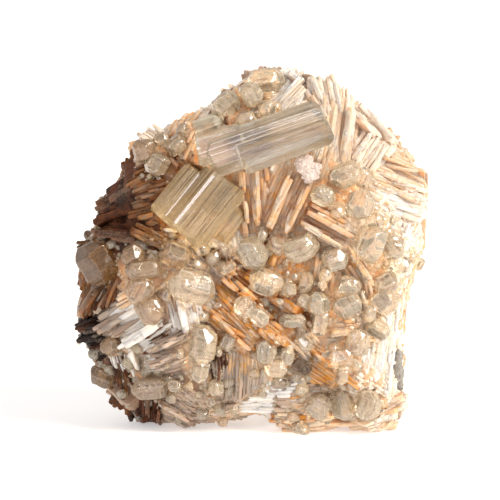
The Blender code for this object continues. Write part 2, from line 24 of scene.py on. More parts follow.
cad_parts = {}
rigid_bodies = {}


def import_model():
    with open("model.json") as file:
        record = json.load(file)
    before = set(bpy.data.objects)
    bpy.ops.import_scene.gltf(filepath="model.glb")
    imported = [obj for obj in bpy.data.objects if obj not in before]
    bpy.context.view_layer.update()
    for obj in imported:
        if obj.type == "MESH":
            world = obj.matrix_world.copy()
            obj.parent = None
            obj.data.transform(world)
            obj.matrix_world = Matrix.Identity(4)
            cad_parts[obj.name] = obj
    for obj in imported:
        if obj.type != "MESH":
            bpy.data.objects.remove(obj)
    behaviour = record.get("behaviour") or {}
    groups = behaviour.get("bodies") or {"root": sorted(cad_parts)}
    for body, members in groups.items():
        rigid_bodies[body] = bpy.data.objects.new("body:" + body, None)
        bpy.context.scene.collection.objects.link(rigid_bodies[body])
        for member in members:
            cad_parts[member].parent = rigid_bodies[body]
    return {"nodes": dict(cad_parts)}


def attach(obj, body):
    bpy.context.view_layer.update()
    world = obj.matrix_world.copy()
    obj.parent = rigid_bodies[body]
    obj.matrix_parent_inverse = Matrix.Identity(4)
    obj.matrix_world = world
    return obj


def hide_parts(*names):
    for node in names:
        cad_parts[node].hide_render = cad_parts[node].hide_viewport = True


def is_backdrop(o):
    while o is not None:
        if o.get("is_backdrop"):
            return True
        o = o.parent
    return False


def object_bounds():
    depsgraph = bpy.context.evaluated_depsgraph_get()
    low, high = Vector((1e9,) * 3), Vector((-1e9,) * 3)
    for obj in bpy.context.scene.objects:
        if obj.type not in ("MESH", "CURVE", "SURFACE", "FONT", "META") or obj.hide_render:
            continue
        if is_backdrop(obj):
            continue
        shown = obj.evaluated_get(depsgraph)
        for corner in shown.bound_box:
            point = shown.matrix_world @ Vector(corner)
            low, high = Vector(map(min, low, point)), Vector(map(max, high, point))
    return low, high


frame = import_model()

MM = 0.001
WELD = 1e-6
BARE_PATCH = 5.5 * MM
SHOWN_FROM = 0.25
BODY = "root"
LOG = logging.getLogger("specimen")

Colour = tuple[float, float, float, float]


def srgb(red: float, green: float, blue: float) -> Colour:
    """Turns a screen colour into the linear one that shaders take.

    Args:
        red: Red, 0 to 255.
        green: Green, 0 to 255.
        blue: Blue, 0 to 255.

    Returns:
        The linear colour with full alpha.
    """
    linear = [
        value / 12.92 if value <= 0.04045 else ((value + 0.055) / 1.055) ** 2.4
        for value in (red / 255, green / 255, blue / 255)
    ]
    return (linear[0], linear[1], linear[2], 1.0)


class Slot(Enum):
    """The record's material slots."""

    BARYTE = "baryte"
    CERUSSITE = "cerussite"
    CRUST = "white_crust"
    ORE = "lead_ore"


class Tone(Enum):
    """How baryte is stained: its shares of amber, umber, white frost and pinkish ash."""

    WHITE = (0.04, 0.00, 0.85, 0.05)
    CREAM = (0.14, 0.00, 0.35, 0.00)
    PEACH = (0.38, 0.02, 0.12, 0.05)
    HONEY = (0.60, 0.04, 0.08, 0.00)
    AMBER = (0.95, 0.12, 0.00, 0.00)
    RUST = (0.85, 0.72, 0.00, 0.00)
    UMBER = (0.40, 1.00, 0.00, 0.00)
    NIGHT = (0.05, 1.00, 0.00, 0.00)
    ASH = (0.08, 0.26, 0.15, 0.80)


class Sheaf(NamedTuple):
    """A stack of parallel blades on the show face, in picture steps and degrees."""

    across: float
    down: float
    angle: float
    length: float
    width: float
    fan: float
    proud: float
    tone: Tone
    pitch: float = 1.05


class Crystal(NamedTuple):
    """The place, length, width and angle of one small crystal, in picture steps, and its glint in mm."""

    across: float
    down: float
    length: float
    width: float
    angle: float
    glint: float = 0.015


class Area(NamedTuple):
    """A round area of the show face, in picture steps, and its number of little crystals."""

    across: float
    down: float
    radius: float
    count: int = 0


SHEAVES = [Sheaf(*row) for row in (
    (292, 92, 48, 30, 24, 6, 2.0, Tone.WHITE, 1.5),
    (313, 91, 112, 28, 18, 8, 2.2, Tone.CREAM, 1.5),
    (331, 97, 100, 32, 20, 4, 2.0, Tone.CREAM, 1.4),
    (342, 134, 80, 54, 24, 4, 2.6, Tone.PEACH, 1.5),
    (368, 149, 52, 34, 36, 6, 2.4, Tone.CREAM, 1.5),
    (372, 124, -46, 44, 18, 0, 1.5, Tone.CREAM, 1.6),
    (398, 177, -18, 42, 30, 26, 2.2, Tone.PEACH, 1.6),
    (404, 203, -12, 34, 26, 10, 1.8, Tone.CREAM, 1.6),
    (328, 222, -28, 56, 46, 6, 3.0, Tone.HONEY, 1.3),
    (358, 268, -56, 46, 16, 5, 2.6, Tone.HONEY, 1.4),
    (322, 282, 82, 40, 16, 5, 2.6, Tone.HONEY, 1.4),
    (361, 302, -70, 30, 18, 6, 2.2, Tone.PEACH),
    (345, 331, 2, 34, 14, 5, 2.2, Tone.HONEY, 1.5),
    (250, 202, 94, 48, 26, 8, 2.8, Tone.HONEY, 1.6),
    (286, 208, 66, 62, 36, 8, 3.0, Tone.HONEY, 1.3),
    (237, 290, -42, 46, 14, 3, 3.2, Tone.AMBER, 2.3),
    (272, 300, -32, 48, 14, 3, 3.2, Tone.AMBER, 2.3),
    (228, 326, -46, 42, 14, 3, 3.0, Tone.AMBER, 2.3),
    (272, 333, -36, 50, 14, 3, 3.0, Tone.AMBER, 2.3),
    (333, 366, -38, 48, 14, 3, 2.6, Tone.AMBER, 2.2),
    (239, 381, 88, 42, 24, 3, 2.6, Tone.ASH),
    (219, 362, 92, 38, 14, 3, 1.6, Tone.UMBER),
    (272, 403, 2, 74, 10, 2, 2.2, Tone.WHITE),
    (118, 205, 18, 50, 40, 10, 1.8, Tone.UMBER),
    (128, 236, -6, 60, 22, 6, 1.8, Tone.UMBER),
    (152, 240, -28, 40, 18, 8, 1.6, Tone.RUST),
    (94, 298, 56, 34, 24, 8, 2.6, Tone.ASH, 1.9),
    (121, 317, 29, 40, 22, 6, 2.8, Tone.ASH, 1.9),
    (124, 330, 32, 38, 12, 4, 2.6, Tone.ASH, 1.9),
    (141, 334, 32, 36, 10, 2, 3.6, Tone.WHITE, 2.6),
    (88, 335, 20, 34, 28, 10, 1.8, Tone.NIGHT, 1.6),
    (184, 315, 104, 26, 14, 4, 3.0, Tone.WHITE, 1.9),
    (172, 346, 27, 38, 26, 8, 2.8, Tone.ASH, 0.9),
    (171, 361, 18, 32, 12, 4, 2.4, Tone.ASH, 0.9),
    (125, 386, 101, 48, 24, 6, 2.4, Tone.RUST, 1.8),
    (176, 408, -28, 38, 22, 6, 2.2, Tone.ASH),
    (148, 413, 85, 20, 22, 8, 1.8, Tone.UMBER),
    (188, 138, 68, 28, 12, 4, 3.0, Tone.HONEY, 2.0),
    (171, 163, -42, 24, 14, 4, 2.4, Tone.RUST),
    (400, 238, 70, 34, 24, 10, 1.4, Tone.WHITE),
    (394, 314, 84, 40, 18, 6, 1.4, Tone.WHITE),
    (385, 372, 82, 50, 22, 6, 1.8, Tone.WHITE),
    (383, 412, 20, 30, 20, 10, 1.6, Tone.CREAM),
)]

PATCHES = {
    Tone.WHITE: ((408, 215), (412, 250), (405, 290), (396, 330), (280, 75)),
    Tone.CREAM: (
        (388, 350), (372, 385), (385, 405), (232, 92), (355, 110), (415, 180), (220, 248), (345, 235),
        (380, 270), (290, 100), (158, 128), (198, 108),
    ),
    Tone.PEACH: ((365, 420), (330, 412), (300, 420), (250, 418), (310, 235), (330, 340), (150, 275)),
    Tone.AMBER: ((285, 425), (295, 270), (255, 310), (250, 285)),
    Tone.ASH: ((200, 420), (245, 82), (205, 265), (300, 380), (210, 400), (140, 140), (178, 118)),
    Tone.RUST: ((110, 395), (90, 235), (240, 105), (240, 275), (287, 316), (262, 292), (105, 275)),
    Tone.UMBER: ((95, 362), (100, 185), (122, 168), (210, 320), (165, 330), (188, 368)),
    Tone.NIGHT: ((78, 335), (84, 324), (92, 346), (92, 332), (99, 340)),
    Tone.HONEY: ((250, 350),),
}

CRYSTALS = [Crystal(*row) for row in (
    (146, 153, 23, 19, 100), (159, 166, 22, 20, 60),
    (163, 141, 15, 12, 20, 0.04), (177, 147, 21, 17, 40),
    (184, 132, 13, 11, 70), (226, 108, 28, 22, 40),
    (265, 83, 36, 23, 6), (252, 97, 23, 19, 120),
    (267, 112, 17, 17, 90), (246, 121, 19, 14, 20, 0.05),
    (252, 254, 30, 26, 120), (262, 236, 12, 9, 70, 0.1),
    (276, 246, 17, 15, 150), (300, 247, 32, 24, 20, 0.04),
    (333, 259, 25, 20, 15, 0.2), (266, 281, 32, 23, -20, 0.04),
    (288, 289, 14, 13, 90), (245, 306, 21, 17, -40, 0.04),
    (259, 316, 19, 15, -40), (193, 285, 44, 30, -15),
    (178, 254, 25, 21, -20), (135, 256, 21, 19, 30, 0.1),
    (101, 262, 42, 36, -60), (91, 236, 13, 9, -20),
    (146, 269, 36, 17, 8), (141, 290, 27, 23, 60, 0.1),
    (152, 309, 28, 24, -60, 0.1), (112, 345, 19, 17, 45),
    (103, 376, 25, 18, -25, 0.05), (203, 343, 38, 24, 80, 0.3),
    (201, 369, 23, 15, 80, 0.1), (151, 387, 38, 19, 5, 0.05),
    (175, 384, 14, 11, 0, 0.1), (216, 386, 15, 14, 90, 0.05),
    (228, 341, 17, 13, 60), (266, 351, 23, 19, 80, 0.05),
    (275, 366, 21, 17, 0), (286, 355, 17, 13, 75, 0.04),
    (317, 303, 23, 19, 90), (319, 322, 25, 14, 80, 0.03),
    (292, 319, 27, 13, 0), (305, 281, 19, 12, 75, 0.03),
    (303, 300, 14, 12, 45), (348, 285, 21, 16, -20, 0.05),
    (345, 304, 28, 21, 30), (358, 205, 28, 24, 70),
    (344, 176, 28, 23, 20), (361, 179, 19, 17, 60),
    (322, 197, 23, 19, -30), (371, 221, 19, 13, 10),
    (367, 243, 34, 28, 70), (390, 247, 25, 21, -60, 0.05),
    (397, 264, 21, 17, 0, 0.06), (384, 283, 23, 21, 30),
    (381, 302, 27, 23, 40), (419, 264, 13, 9, 60),
    (356, 341, 25, 21, 80, 0.1), (340, 356, 23, 19, 10, 0.1),
    (341, 402, 32, 21, -75), (318, 404, 23, 21, 60),
    (367, 403, 27, 23, 70), (229, 268, 15, 8, 40),
    (303, 341, 19, 13, -50), (376, 328, 23, 17, -30),
)]
CLUSTERS = [Area(*row) for row in (
    (150, 155, 25, 8), (235, 100, 30, 16), (265, 85, 20, 6), (170, 255, 22, 8),
    (140, 262, 18, 8), (205, 262, 22, 10), (170, 285, 25, 12), (215, 300, 20, 6),
    (240, 250, 22, 8), (225, 228, 12, 5), (285, 250, 25, 10), (320, 262, 22, 8),
    (300, 300, 28, 16), (260, 310, 22, 6), (330, 300, 22, 10), (365, 260, 28, 14),
    (350, 190, 28, 14), (375, 235, 24, 12), (395, 260, 18, 8), (385, 300, 24, 12),
    (345, 350, 24, 10), (360, 385, 26, 12), (320, 385, 24, 10), (330, 410, 24, 10),
    (290, 360, 28, 16), (265, 385, 20, 6), (280, 415, 25, 8), (200, 350, 25, 10),
    (215, 385, 22, 8), (165, 385, 26, 12), (150, 365, 22, 8), (110, 355, 18, 6),
    (105, 378, 14, 5), (135, 400, 18, 5), (190, 405, 22, 6), (240, 415, 20, 5),
)]

GRAINS = [Area(*row) for row in (
    (400, 190, 18), (412, 212, 20), (412, 240, 22), (410, 270, 24), (403, 300, 24),
    (400, 330, 20), (392, 355, 22), (384, 385, 24), (378, 412, 24), (350, 415, 22),
    (380, 200, 14), (362, 322, 14), (372, 350, 16),
)]


@dataclass(frozen=True)
class Picture:
    """Turns picture steps into places, as the source of the solids does."""

    middle: float = 250.5
    base: float = 432.0
    step: float = 0.18 * MM
    pitch: float = math.radians(8)
    foot_depth: float = 12 * MM
    shift: tuple[float, float, float] = (0.2247 * MM, 2.3748 * MM, 0.0)

    @property
    def right(self) -> Vector:
        """The direction across the picture."""
        return Vector((1, 0, 0))

    @property
    def rise(self) -> Vector:
        """The direction up the picture."""
        return Vector((0, math.sin(self.pitch), math.cos(self.pitch)))

    @property
    def viewer(self) -> Vector:
        """The direction to the viewer."""
        return Vector((0, -math.cos(self.pitch), math.sin(self.pitch)))

    def point(self, across: float, down: float) -> Vector:
        """Finds a place in the picture plane.

        Args:
            across: Steps across the picture.
            down: Steps down the picture.

        Returns:
            The place, in metres.
        """
        height = (self.base - down) * self.step - self.foot_depth * math.sin(self.pitch)
        beside = self.right * (across - self.middle) * self.step
        return beside + self.rise * height + Vector(self.shift)

    def steps(self, points: np.ndarray) -> np.ndarray:
        """Finds where places show in the picture.

        Args:
            points: Rows of x, y and z.

        Returns:
            Rows of steps across and down.
        """
        local = points - np.array(self.shift)
        across = local[:, 0] / self.step + self.middle
        height = local @ np.array(self.rise) + self.foot_depth * math.sin(self.pitch)
        return np.stack([across, self.base - height / self.step], axis=1)

    def direction(self, angle: float) -> Vector:
        """The direction in the picture plane at this many degrees from its right."""
        turn = math.radians(angle)
        return self.right * math.cos(turn) + self.rise * math.sin(turn)

    def outside(self, flat: Vector) -> Vector:
        """A place well in front of the specimen, over one in the picture plane."""
        return flat + self.viewer * 60 * MM


PICTURE = Picture()
VIEWER = PICTURE.viewer


class Graph:
    """Adds nodes to a shader or geometry tree, and links them."""

    def __init__(self, tree: NodeTree) -> None:
        """Keeps the tree that nodes are added to."""
        self.tree = tree

    def fill(self, node: Node, values: dict) -> None:
        """Sets a node's inputs.

        Args:
            node: The node.
            values: Its inputs by name or number, each a socket to link or a plain value.
        """
        for name, value in values.items():
            if isinstance(value, NodeSocket):
                self.tree.links.new(value, node.inputs[name])
            else:
                node.inputs[name].default_value = value

    def add(self, kind: str, values: Optional[dict] = None, **settings: object) -> Node:
        """Adds a node.

        Args:
            kind: The node's type name.
            values: Its inputs, as fill takes them.
            **settings: The node's own properties.

        Returns:
            The new node.
        """
        node = self.tree.nodes.new(kind)
        for name, value in settings.items():
            setattr(node, name, value)
        self.fill(node, values or {})
        return node

    def group(self, tree: NodeTree, values: dict) -> NodeOutputs:
        """Adds a shader group with these inputs, and returns its outputs."""
        return self.add("ShaderNodeGroup", values, node_tree=tree).outputs

    def math(self, operation: str, *values: object, clamp: bool = False) -> NodeSocket:
        """Adds a Math node over these values, and returns its result."""
        settings = {"operation": operation, "use_clamp": clamp}
        return self.add("ShaderNodeMath", dict(enumerate(values)), **settings).outputs[0]

    def times(self, *values: object, clamp: bool = False) -> NodeSocket:
        """Multiplies two values."""
        return self.math("MULTIPLY", *values, clamp=clamp)

    def plus(self, *values: object, clamp: bool = False) -> NodeSocket:
        """Adds two values up."""
        return self.math("ADD", *values, clamp=clamp)

    def rest(self, value: object, clamp: bool = False) -> NodeSocket:
        """Takes a value from 1."""
        return self.math("SUBTRACT", 1.0, value, clamp=clamp)

    def mix(self, share: object, first: object, second: object, blend: str = "MIX") -> NodeSocket:
        """Adds a colour Mix node, and returns its colour."""
        values = {0: share, 6: first, 7: second}
        return self.add("ShaderNodeMix", values, data_type="RGBA", blend_type=blend).outputs[2]

    def span(
        self, value: object, low: float, high: float, start: float = 0.0, end: float = 1.0
    ) -> NodeSocket:
        """Maps a value from one span to another, clamped, and returns the result."""
        values = {"Value": value, "From Min": low, "From Max": high, "To Min": start, "To Max": end}
        return self.add("ShaderNodeMapRange", values).outputs[0]

    def cloud(self, vector: object, scale: object, detail: float = 3.0) -> NodeSocket:
        """Adds a Noise Texture, and returns its value."""
        values = {"Vector": vector, "Scale": scale, "Detail": detail}
        return self.add("ShaderNodeTexNoise", values).outputs[0]

    def place(self) -> NodeSocket:
        """Adds the Object coordinates, and returns them."""
        return self.add("ShaderNodeTexCoord").outputs["Object"]

    def attribute(self, name: str, output: str = "Fac") -> NodeSocket:
        """Adds a shader's Attribute node, and returns one of its outputs."""
        return self.add("ShaderNodeAttribute", attribute_name=name).outputs[output]

    def bump(self, height: object, strength: float, distance: float) -> NodeSocket:
        """Adds a Bump node, and returns its normal."""
        values = {"Height": height, "Strength": strength, "Distance": distance}
        return self.add("ShaderNodeBump", values).outputs[0]

    def named(self, name: str, kind: str) -> NodeSocket:
        """Adds a Named Attribute of Geometry Nodes, and returns its value."""
        return self.add("GeometryNodeInputNamedAttribute", {"Name": name}, data_type=kind).outputs[0]

    def instances(self, values: dict) -> NodeSocket:
        """Stands shapes from a collection on points, and makes them real.

        Args:
            values: The inputs of Instance on Points, with a collection socket as Instance.

        Returns:
            The geometry.
        """
        picked = {"Collection": values["Instance"], "Separate Children": True, "Reset Children": True}
        shapes = self.add("GeometryNodeCollectionInfo", picked).outputs[0]
        turn = self.add("FunctionNodeEulerToRotation", {0: values["Rotation"]}).outputs[0]
        values = {**values, "Instance": shapes, "Pick Instance": True, "Rotation": turn}
        placed = self.add("GeometryNodeInstanceOnPoints", values)
        return self.add("GeometryNodeRealizeInstances", {0: placed.outputs[0]}).outputs[0]

    def finished(self, geometry: object, material: object, **chosen: object) -> NodeSocket:
        """Adds a Set Material node, and returns its geometry."""
        values = {"Geometry": geometry, "Material": material, **chosen}
        return self.add("GeometryNodeSetMaterial", values).outputs[0]


def new_tree(
    name: str, kind: str, given: dict[str, str], made: dict[str, str]
) -> tuple[Graph, NodeOutputs]:
    """Starts a node tree.

    Args:
        name: The tree's name.
        kind: Shader or Geometry.
        given: The kind of socket of each of its inputs.
        made: The kind of socket of each of its outputs.

    Returns:
        Its graph, and the sockets that bring its inputs.
    """
    tree = bpy.data.node_groups.new(name, f"{kind}NodeTree")
    for way, sockets in (("INPUT", given), ("OUTPUT", made)):
        for socket, value in sockets.items():
            tree.interface.new_socket(socket, in_out=way, socket_type=f"NodeSocket{value}")
    graph = Graph(tree)
    return graph, graph.add("NodeGroupInput").outputs


@cache
def grain_group() -> NodeTree:
    """Builds the fine grain that baryte, crust and ore share.

    Returns:
        A group that turns a vector and a scale into a grain value and a blotch value.
    """
    graph, given = new_tree(
        "mineral_grain", "Shader",
        {"Vector": "Vector", "Scale": "Float"}, {"Grain": "Float", "Blotch": "Float"},
    )
    fine = graph.add(
        "ShaderNodeTexNoise",
        {"Vector": given["Vector"], "Scale": given["Scale"], "Detail": 4.0, "Roughness": 0.7},
    )
    blotch = graph.cloud(given["Vector"], graph.times(given["Scale"], 0.16), 2.0)
    graph.add("NodeGroupOutput", {"Grain": fine.outputs[0], "Blotch": graph.span(blotch, 0.36, 0.64)})
    return graph.tree


@cache
def growth_lines_group() -> NodeTree:
    """Builds the fine lines that run along every cerussite crystal.

    Returns:
        A group that turns the places across and along a crystal into a line value.
    """
    graph, given = new_tree(
        "growth_lines", "Shader",
        {"Across": "Float", "Along": "Float", "Fineness": "Float"}, {"Lines": "Float"},
    )
    across = graph.times(given["Across"], given["Fineness"])
    place = graph.add("ShaderNodeCombineXYZ", {0: across, 1: graph.times(given["Along"], 0.02)})
    graph.add("NodeGroupOutput", {"Lines": graph.cloud(place.outputs[0], 1.0)})
    return graph.tree


def new_material(name: str) -> tuple[Material, Graph, Node]:
    """Starts a material.

    Args:
        name: The material's name.

    Returns:
        The material, its graph and its Principled shader.
    """
    material = bpy.data.materials.new(name)
    material.use_nodes = True
    graph = Graph(material.node_tree)
    return material, graph, material.node_tree.nodes["Principled BSDF"]


@dataclass(frozen=True)
class BaryteFinish:
    """Finely grained baryte, stained by each blade's attributes, and darker low down: stain and painted
    shade.
    """

    name: str = "bladed_baryte"
    cream: Colour = srgb(246, 230, 210)
    peach: Colour = srgb(236, 206, 174)
    amber: Colour = srgb(214, 144, 56)
    umber: Colour = srgb(98, 54, 30)
    night: Colour = srgb(32, 18, 13)
    white: Colour = srgb(252, 246, 238)
    ash: Colour = srgb(192, 166, 148)
    # The next five colours go on the lower parts of blades: iron stain, and painted shade in the gaps
    # between them.
    gap: Colour = srgb(226, 178, 128)
    honey: Colour = srgb(198, 116, 36)
    dusk: Colour = srgb(146, 98, 58)
    deep: Colour = srgb(204, 134, 64)
    sienna: Colour = srgb(168, 88, 26)
    grain: float = 2600.0
    roughness: float = 0.42

    def material(self) -> Material:
        """Builds the material."""
        material, graph, shader = new_material(self.name)
        place = graph.place()
        stains = graph.add("ShaderNodeAttribute", attribute_name="stains").outputs
        amber, umber, frost = graph.add("ShaderNodeSeparateColor", {0: stains["Color"]}).outputs
        ash = stains["Alpha"]
        crest = graph.attribute("crest")
        fine, blotch = graph.group(grain_group(), {"Vector": place, "Scale": self.grain})
        shift = graph.add("ShaderNodeVectorMath", {0: stains["Color"], "Scale": 40.0}, operation="SCALE")
        lane = graph.attribute("lane", "Vector")
        own = graph.add("ShaderNodeVectorMath", {0: lane, 1: shift.outputs[0]}).outputs[0]
        streak = graph.plus(graph.cloud(place, 700.0, 4.0), graph.cloud(own, 1.0))
        streak = graph.times(streak, 0.5)

        colour = graph.mix(graph.span(streak, 0.4, 0.6), self.cream, self.peach)
        colour = graph.mix(ash, colour, self.ash)
        stained = graph.times(amber, graph.span(streak, 0.38, 0.56, 0.3, 1.15), clamp=True)
        colour = graph.mix(stained, colour, self.amber)
        colour = graph.mix(frost, colour, self.white)
        clean = graph.rest(graph.times(frost, 0.75))
        # Below its crest a blade takes gap and honey colours: partly iron stain, partly painted shade
        # between blades.
        low_stain_and_shade = graph.times(graph.span(crest, 0.97, 0.6), clean)
        low_stain_and_shade_colour = graph.mix(ash, graph.mix(amber, self.gap, self.honey), self.dusk)
        strength = graph.span(amber, 0.1, 0.75, 0.12, 0.95)
        strength = graph.plus(strength, graph.times(ash, 0.5), clamp=True)
        colour = graph.mix(graph.times(low_stain_and_shade, strength), colour, low_stain_and_shade_colour)
        # Near the root it turns deep orange to sienna: partly iron stain, partly painted shade in the
        # recesses.
        deep = graph.times(graph.span(crest, 0.5, 0.0), clean)
        sunk = graph.times(deep, graph.span(amber, 0.1, 0.8, 0.18, 0.8))
        colour = graph.mix(sunk, colour, graph.mix(amber, self.deep, self.sienna))
        black = graph.span(blotch, 0.2, 0.9, 0.0, 0.8)
        black = graph.math("MAXIMUM", black, graph.span(amber, 0.2, 0.08))
        brown = graph.mix(black, self.umber, self.night)
        dark = graph.times(umber, graph.span(fine, 0.3, 0.7, 0.95, 1.3), clamp=True)
        colour = graph.mix(dark, colour, brown)
        uneven = graph.rest(graph.span(streak, 0.40, 0.58, 0.86, 1.05))
        uneven = graph.times(uneven, graph.span(amber, 0.15, 0.6, 0.3, 1.5))
        speckle = graph.times(graph.span(fine, 0.25, 0.75, 0.86, 1.10), graph.rest(uneven))
        tinted = graph.add("ShaderNodeHueSaturation", {"Value": speckle, "Color": colour})

        graph.fill(shader, {
            "Base Color": tinted.outputs[0],
            "Roughness": graph.span(fine, 0.3, 0.7, self.roughness - 0.14, self.roughness + 0.2),
            "Normal": graph.bump(fine, 0.35, 0.12 * MM),
            "Specular IOR Level": 0.2,
            "Subsurface Weight": 0.45,
            "Subsurface Radius": (1.0, 0.75, 0.55),
            "Subsurface Scale": 1.3 * MM,
        })
        return material


@dataclass(frozen=True)
class GlassFinish:
    """Clear to milky cerussite, with growth lines, veils, frosted patches, painted highlight streaks and
    a painted shade to the left.
    """

    name: str
    body: Colour
    cloudy: Colour
    veined: Colour
    clearness: float = 0.72
    ior: float = 1.8
    smooth: float = 0.04
    frosted: float = 0.30
    tint: Colour = srgb(226, 204, 168)
    density: float = 22.0
    fineness: float = 1.0
    line_share: float = 1.0
    highlight_share: float = 0.0
    grain_share: float = 0.4
    vein_share: float = 0.6
    veil_scale: float = 700.0
    grain: float = 1700.0
    relief: float = 0.26 * MM
    rim: float = 0.12
    broken: bool = True
    # The brown that the tan attribute multiplies in: painted shade on crystals toward the left, and the
    # long prism's beige band.
    tan: Colour = srgb(170, 130, 78)
    highlight_colour: Colour = srgb(255, 252, 242)
    unshaded: Colour = (0.95, 0.92, 0.88, 1.0)

    def material(self) -> Material:
        """Builds the material."""
        material, graph, shader = new_material(self.name)
        place = graph.place()
        frost, facet, rib, run, tan = map(graph.attribute, ("frost", "facet", "rib", "run", "tan"))
        given = {"Across": rib, "Along": run, "Fineness": self.fineness}
        lines = graph.group(growth_lines_group(), given)["Lines"]
        veil = graph.cloud(place, self.veil_scale, 4.0)
        fine = graph.cloud(place, self.grain)
        milk = graph.plus(graph.span(veil, 0.50, 0.58), frost, clamp=True)
        colour = graph.mix(graph.times(milk, 0.8), self.body, self.cloudy)
        vein = graph.span(lines, 0.50, 0.60, 0.0, self.vein_share)
        if self.broken:
            vein = graph.times(vein, graph.span(fine, 0.35, 0.55))
        clear = graph.rest(graph.times(frost, 0.8), clamp=True)
        colour = graph.mix(graph.times(vein, clear), colour, self.veined)
        # Some growth lines are painted near white: painted highlight streaks on the striations.
        lit = graph.span(lines, 0.46, 0.40, 0.0, self.highlight_share)
        # The tan attribute browns the crystals toward the left side as painted shade, and tints the long
        # prism's pale band beige.
        colour = graph.mix(tan, graph.mix(lit, colour, self.highlight_colour), self.tan, "MULTIPLY")

        dull = graph.rest(facet, clamp=True)
        rough = graph.times(graph.span(milk, 0.1, 1.0, self.smooth, self.frosted), dull)
        ribs = graph.times(lines, self.line_share)
        height = graph.times(graph.plus(ribs, graph.times(fine, self.grain_share)), dull)
        graph.fill(shader, {
            "Base Color": colour,
            "Roughness": graph.plus(rough, 0.02),
            "Normal": graph.bump(height, 1.0, self.relief),
            "Transmission Weight": self.clearness,
            "IOR": self.ior,
            "Sheen Weight": self.rim,
            "Sheen Roughness": 0.35,
            "Sheen Tint": self.body,
        })
        shadow = graph.add("ShaderNodeLightPath").outputs["Is Shadow Ray"]
        through = graph.add("ShaderNodeBsdfTransparent", {0: self.unshaded})
        mixed = graph.add("ShaderNodeMixShader", {0: shadow, 1: shader.outputs[0], 2: through.outputs[0]})
        absorbed = {"Color": self.tint, "Density": self.density}
        inside = graph.add("ShaderNodeVolumeAbsorption", absorbed)
        output = graph.tree.nodes["Material Output"]
        graph.fill(output, {"Surface": mixed.outputs[0], "Volume": inside.outputs[0]})
        return material


@dataclass(frozen=True)
class RimFinish:
    """The milkier, rougher edges between a crystal's facets, paler as a painted highlight rim."""

    name: str = "cerussite_edges"
    # Paler than the crystal body: a painted highlight along the edges.
    colour: Colour = srgb(255, 248, 234)
    tan: Colour = srgb(190, 156, 116)
    clearness: float = 0.6
    roughness: float = 0.22
    ior: float = 1.8

    def material(self) -> Material:
        """Builds the material."""
        material, graph, shader = new_material(self.name)
        # The tan attribute browns the edges too: painted shade toward the left side, and the long prism's
        # beige band.
        colour = graph.mix(graph.attribute("tan"), self.colour, self.tan, "MULTIPLY")
        graph.fill(shader, {
            "Base Color": colour,
            "Transmission Weight": self.clearness,
            "Roughness": self.roughness,
            "IOR": self.ior,
        })
        return material


@dataclass(frozen=True)
class GrainyFinish:
    """An opaque grainy mineral in two colours."""

    name: str
    light: Colour
    dark: Colour
    roughness: float
    metallic: float = 0.0
    grain: float = 3000.0
    relief: float = 0.10 * MM

    def material(self) -> Material:
        """Builds the material."""
        material, graph, shader = new_material(self.name)
        given = {"Vector": graph.place(), "Scale": self.grain}
        fine, blotch = graph.group(grain_group(), given)
        share = graph.times(graph.span(fine, 0.35, 0.65), blotch)
        graph.fill(shader, {
            "Base Color": graph.mix(share, self.light, self.dark),
            "Roughness": graph.span(fine, 0.3, 0.7, self.roughness - 0.1, self.roughness + 0.15),
            "Normal": graph.bump(fine, 0.5, self.relief),
            "Metallic": self.metallic,
        })
        return material


def sliced(bm: BMesh, point: Vector, normal: Vector, clear_outer: bool = False) -> list[BMVert | BMEdge]:
    """Adds edges where a plane meets a bmesh.

    Args:
        bm: The bmesh.
        point: A place in the plane.
        normal: The direction that the plane faces.
        clear_outer: Whether what lies beyond the plane goes.

    Returns:
        The vertices and edges in the plane.
    """
    made = bmesh.ops.bisect_plane(
        bm, geom=bm.verts[:] + bm.edges[:] + bm.faces[:], dist=1e-8,
        plane_co=point, plane_no=normal, clear_outer=clear_outer,
    )
    return made["geom_cut"]


def merged(names: Iterable[str]) -> BMesh:
    """Copies CAD nodes into one bmesh, with their doubles merged.

    Args:
        names: The nodes.

    Returns:
        The bmesh.
    """
    bm = bmesh.new()
    for name in names:
        bm.from_mesh(frame["nodes"][name].data)
    bmesh.ops.remove_doubles(bm, verts=bm.verts, dist=WELD)
    return bm


def mesh_from(name: str, bm: BMesh) -> Mesh:
    """Makes a mesh of a bmesh, and frees it."""
    mesh = bpy.data.meshes.new(name)
    bm.to_mesh(mesh)
    bm.free()
    return mesh


def linked(name: str, data: ID) -> Object:
    """Makes an object of this data, and links it to the scene."""
    obj = bpy.data.objects.new(name, data)
    bpy.context.scene.collection.objects.link(obj)
    return obj


def object_from(name: str, bm: BMesh, *materials: Material) -> Object:
    """Makes an object of a bmesh, frees it, and links the object to the scene.

    Args:
        name: The object's name.
        bm: The bmesh.
        *materials: What it is finished in.

    Returns:
        The object.
    """
    obj = linked(name, mesh_from(name, bm))
    for material in materials:
        obj.data.materials.append(material)
    return obj


def settle(obj: Object) -> Object:
    """Makes an object the plain mesh that its modifiers give.

    Args:
        obj: The object.

    Returns:
        The same object, without modifiers.
    """
    graph = bpy.context.evaluated_depsgraph_get()
    mesh = bpy.data.meshes.new_from_object(obj.evaluated_get(graph))
    old = obj.data
    obj.modifiers.clear()
    obj.data = mesh
    bpy.data.meshes.remove(old)
    mesh.name = obj.name
    return obj


def evened(name: str, node: str, voxel: float, *materials: Material) -> Object:
    """Makes an object with even faces of a CAD node.

    Args:
        name: The object's name.
        node: The node.
        voxel: The size of the faces.
        *materials: What it is finished in.

    Returns:
        The object.
    """
    obj = object_from(name, merged([node]), *materials)
    modifier = obj.modifiers.new("even_faces", "REMESH")
    modifier.mode = "VOXEL"
    modifier.voxel_size = voxel
    return settle(obj)


